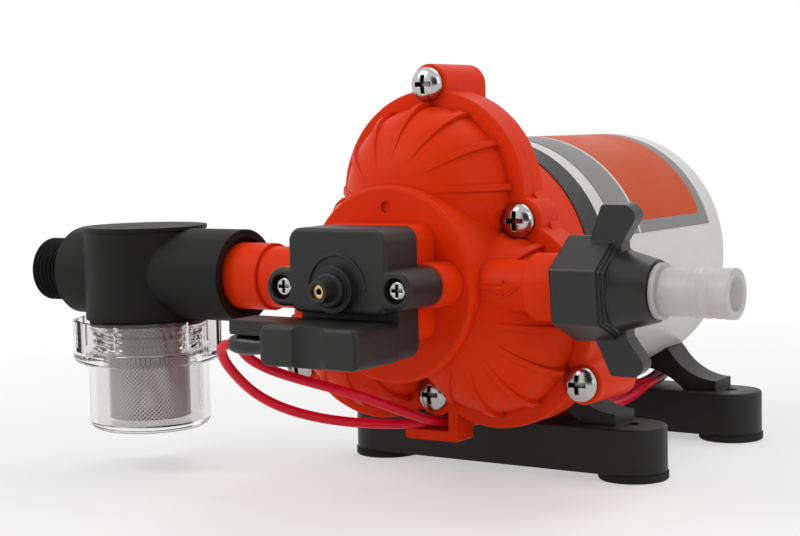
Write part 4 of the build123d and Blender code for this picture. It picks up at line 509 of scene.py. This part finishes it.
class PUMP_OT_leads(bpy.types.Operator):
    """Run the two leads from the switch boots under the motor to its end cap"""

    bl_idname = "pump.leads"
    bl_label = "Leads"

    def execute(self, context):
        colours, sizes, _ = settings()
        insulation = moulded("lead_insulation", colours.lead, rough=0.34, grain=0.00002, grain_scale=900.0,
                             gloss=0.3)
        for name, node, route, real in (("lead_lower", "lower_lead", LOWER_ROUTE, LOWER_LENGTH),
                                        ("lead_upper", "upper_lead", UPPER_ROUTE, UPPER_LENGTH)):
            curve = bpy.data.curves.new(name, "CURVE")
            curve.dimensions = "3D"
            curve.resolution_u = 8
            curve.bevel_depth = sizes.lead_diameter / 2
            curve.bevel_resolution = 5
            curve.use_fill_caps = True
            spline = curve.splines.new("NURBS")
            spline.points.add(len(route) - 1)
            for point, place in zip(spline.points, route):
                point.co = (*place, 1)
            spline.order_u = 3
            spline.use_endpoint_u = True
            curve.materials.append(insulation)
            lead = bpy.data.objects.new(name, curve)
            context.scene.collection.objects.link(lead)
            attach(lead, "pump")
            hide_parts(node)
        return {"FINISHED"}


class PUMP_OT_housings(bpy.types.Operator):
    """Finish the orange mouldings of the head and the drive housing"""

    bl_idname = "pump.housings"
    bl_label = "Head and housing"

    def execute(self, context):
        colours = settings()[0]
        orange = moulded("orange_moulding", colours.housing, rough=0.46, grain=0.00003, lighter=1.05,
                         gloss=0.09)
        finish_nodes(orange, "pump_head", "drive_housing")
        return {"FINISHED"}


class PUMP_OT_black_pieces(bpy.types.Operator):
    """Finish the black mouldings, the rubber pieces and the glossy boots"""

    bl_idname = "pump.black_pieces"
    bl_label = "Black pieces"

    def execute(self, context):
        black = settings()[0].black
        finish_nodes(moulded("black_base", black, rough=0.48, lighter=1.3, gloss=0.3),
                     "base_bracket", "front_end_bell", "rear_end_cap")
        finish_nodes(moulded("black_switch", black, rough=0.5, lighter=1.6, gloss=0.36),
                     "switch_body", "switch_cover")
        finish_nodes(moulded("black_strainer", black, rough=0.56, lighter=1.3, gloss=0.14), "strainer_body")
        finish_nodes(moulded("black_nut", black, rough=0.34, lighter=1.2, gloss=0.42), "wing_nut")
        finish_nodes(moulded("black_rubber", black, rough=0.75, grain=0.00006, grain_scale=1500.0, gloss=0.3),
                     "rubber_feet", "lead_grommet", "barb_oring", "bowl_oring", "inlet_gasket", "diaphragm",
                     "inlet_valves", "outlet_valve", "switch_diaphragm")
        finish_nodes(moulded("boot_vinyl", black, rough=0.24, grain=0.00001, grain_scale=600.0, gloss=0.4),
                     "terminal_boots")
        return {"FINISHED"}


class PUMP_OT_motor(bpy.types.Operator):
    """Finish the motor can, its label and the works inside"""

    bl_idname = "pump.motor"
    bl_label = "Motor"

    def execute(self, context):
        colours, sizes, _ = settings()
        finish_nodes(moulded("can_paint", colours.can, rough=0.3, grain=0.000004, grain_scale=500.0,
                             lighter=0.97, spread=0.03, gloss=0.35), "motor_can")
        finish_nodes(label_print("label_print", colours, sizes), "motor_label")
        finish_nodes(metal("plain_steel", colours.steel, rough=0.34),
                     "motor_through_bolts", "front_bearing", "rear_bearing", "cam_bearing", "rotor_shaft",
                     "cam_set_screw", "piston_screws", "armature_core", "brush_springs", "switch_spring")
        finish_nodes(moulded("magnet_ferrite", colours.ferrite, rough=0.7, grain=0.0001), "magnets")
        finish_nodes(metal("copper", colours.copper, rough=0.3), "armature_windings", "commutator")
        finish_nodes(moulded("carbon", colours.carbon, rough=0.8), "carbon_brushes")
        finish_nodes(moulded("pale_moulding", colours.pale, rough=0.5),
                     "brush_holder", "valve_plate", "wobble_plate", "pistons", "screen_cap",
                     "switch_plunger", "switch_button")
        finish_nodes(metal("zinc_casting", colours.zinc, rough=0.45), "drive_cam", "spring_seat")
        return {"FINISHED"}


class PUMP_OT_fittings(bpy.types.Operator):
    """Finish the screws, the adjusting screw, the barb and the switch's inner pieces"""

    bl_idname = "pump.fittings"
    bl_label = "Screws and fittings"

    def execute(self, context):
        colours = settings()[0]
        finish_nodes(metal("bright_screw", colours.screw, rough=0.2, spread=0.08),
                     "head_screws", "switch_screws")
        finish_nodes(metal("brass", colours.brass, rough=0.28), "switch_terminals", "adjusting_screw")
        finish_nodes(moulded("switch_block", colours.switch_block, rough=0.5), "microswitch")
        finish_nodes(frosted("frosted_plastic", colours.barb), "hose_barb")
        return {"FINISHED"}


class PUMP_OT_strainer(bpy.types.Operator):
    """Finish the clear bowl and the wire screen inside it"""

    bl_idname = "pump.strainer"
    bl_label = "Strainer bowl and screen"

    def execute(self, context):
        colours, sizes, _ = settings()
        finish_nodes(clear_plastic("clear_plastic", colours.bowl), "strainer_bowl")
        finish_nodes(gauze("wire_gauze", colours, sizes.gauze_pitch), "strainer_screen")
        return {"FINISHED"}


def facing(place, target):
    """The turn that makes something at the place look at the target."""
    return (Vector(target) - Vector(place)).to_track_quat("-Z", "Y")


def stage_sheet(name, size, base, rough, matrix=None):
    """A flat square of the stage, and its node tree and shader."""
    bm = bmesh.new()
    matrix = matrix or Matrix.Identity(4)
    bmesh.ops.create_grid(bm, x_segments=1, y_segments=1, size=size / 2, matrix=matrix)
    mesh = bpy.data.meshes.new(name)
    bm.to_mesh(mesh)
    bm.free()
    sheet = bpy.data.objects.new(name, mesh)
    bpy.context.scene.collection.objects.link(sheet)
    material, tree, shader = principled(name)
    shader.inputs["Base Color"].default_value = (*base, 1)
    shader.inputs["Roughness"].default_value = rough
    mesh.materials.append(material)
    return sheet, tree, shader


def background_seen(tree):
    """One for the rays that look at the background: straight, in a gloss or through glass."""
    rays = put(tree, "ShaderNodeLightPath")
    mirrored = maths(tree, "MAXIMUM", rays.outputs["Is Glossy Ray"], rays.outputs["Is Transmission Ray"])
    return maths(tree, "MAXIMUM", rays.outputs["Is Camera Ray"], mirrored)


def lamp(name, place, target, size, power):
    """A square soft lamp that faces the target."""
    light = bpy.data.lights.new(name, "AREA")
    light.shape = "SQUARE"
    light.size = size
    light.energy = power
    piece = bpy.data.objects.new(name, light)
    piece.location = place
    piece.rotation_mode = "QUATERNION"
    piece.rotation_quaternion = facing(place, target)
    bpy.context.scene.collection.objects.link(piece)


class PUMP_OT_studio(bpy.types.Operator):
    """Lay the pale floor, stand the dark card behind the camera and set the soft lamps"""

    bl_idname = "pump.studio"
    bl_label = "Studio"

    def execute(self, context):
        colours, _, studio = settings()
        _, tree, shader = stage_sheet("studio_floor", FLOOR_SIZE, colours.floor, rough=0.9)
        shader.inputs["Specular IOR Level"].default_value = 0.1
        far = put(tree, "ShaderNodeVectorMath", {"operation": "LENGTH"}, i0=object_place(tree))
        rising = ramp(tree, far.outputs["Value"], GLOW_START, GLOW_END, to_low=GLOW_LEAST)
        fade = maths(tree, "MULTIPLY", rising, background_seen(tree))
        glow = put(tree, "ShaderNodeEmission", Strength=1.0)
        blend = put(tree, "ShaderNodeMixShader", i0=fade, i1=shader.outputs[0], i2=glow.outputs[0])
        tree.links.new(blend.outputs[0], tree.nodes["Material Output"].inputs["Surface"])
        stand = Matrix.Translation(CARD_PLACE) @ facing(CARD_PLACE, STUDIO_MIDDLE).to_matrix().to_4x4()
        card, _, _ = stage_sheet("studio_card", CARD_SIZE, colours.card, rough=1.0, matrix=stand)
        card.visible_camera = False
        lamp("key_lamp", KEY_PLACE, STUDIO_MIDDLE, LAMP_SIZE, studio.key)
        lamp("fill_lamp", FILL_PLACE, STUDIO_MIDDLE, LAMP_SIZE, studio.fill)
        lamp("top_lamp", TOP_PLACE, STUDIO_MIDDLE, TOP_LAMP_SIZE, studio.key * TOP_LAMP_SHARE)
        world = bpy.data.worlds.new("studio_world")
        context.scene.world = world
        world.use_nodes = True
        tree = world.node_tree
        background = tree.nodes["Background"]
        level = put(tree, "ShaderNodeMapRange", i0=background_seen(tree), i3=studio.sky, i4=1.0).outputs[0]
        tree.links.new(level, background.inputs["Strength"])
        background.inputs["Color"].default_value = (1, 1, 1, 1)
        context.scene.view_settings.view_transform = "Standard"
        return {"FINISHED"}


STEPS = (PUMP_OT_camera, PUMP_OT_leads, PUMP_OT_housings, PUMP_OT_black_pieces, PUMP_OT_motor,
         PUMP_OT_fittings, PUMP_OT_strainer, PUMP_OT_studio)
GROUPS_OF_PROPERTIES = (("pump_colours", PumpColours), ("pump_sizes", PumpSizes), ("pump_studio", PumpStudio))


class PUMP_PT_panel(bpy.types.Panel):
    """Sizes, colours and steps of the water pump"""

    bl_idname = "PUMP_PT_panel"
    bl_label = "Water Pump"
    bl_space_type = "VIEW_3D"
    bl_region_type = "UI"
    bl_category = "Water Pump"

    def draw(self, context):
        layout = self.layout
        for attribute, group in GROUPS_OF_PROPERTIES:
            box = layout.box()
            for name in group.__annotations__:
                box.prop(getattr(context.scene, attribute), name)
        for step in STEPS:
            layout.operator(step.bl_idname)


def register():
    for attribute, group in GROUPS_OF_PROPERTIES:
        bpy.utils.register_class(group)
        setattr(bpy.types.Scene, attribute, PointerProperty(type=group))
    for step in STEPS:
        bpy.utils.register_class(step)
    bpy.utils.register_class(PUMP_PT_panel)


def unregister():
    bpy.utils.unregister_class(PUMP_PT_panel)
    for step in reversed(STEPS):
        bpy.utils.unregister_class(step)
    for attribute, group in reversed(GROUPS_OF_PROPERTIES):
        delattr(bpy.types.Scene, attribute)
        bpy.utils.unregister_class(group)


def main():
    register()
    bpy.ops.pump.camera()
    bpy.ops.pump.leads()
    bpy.ops.pump.housings()
    bpy.ops.pump.black_pieces()
    bpy.ops.pump.motor()
    bpy.ops.pump.fittings()
    bpy.ops.pump.strainer()
    bpy.ops.pump.studio()


if __name__ == "__main__":
    main()
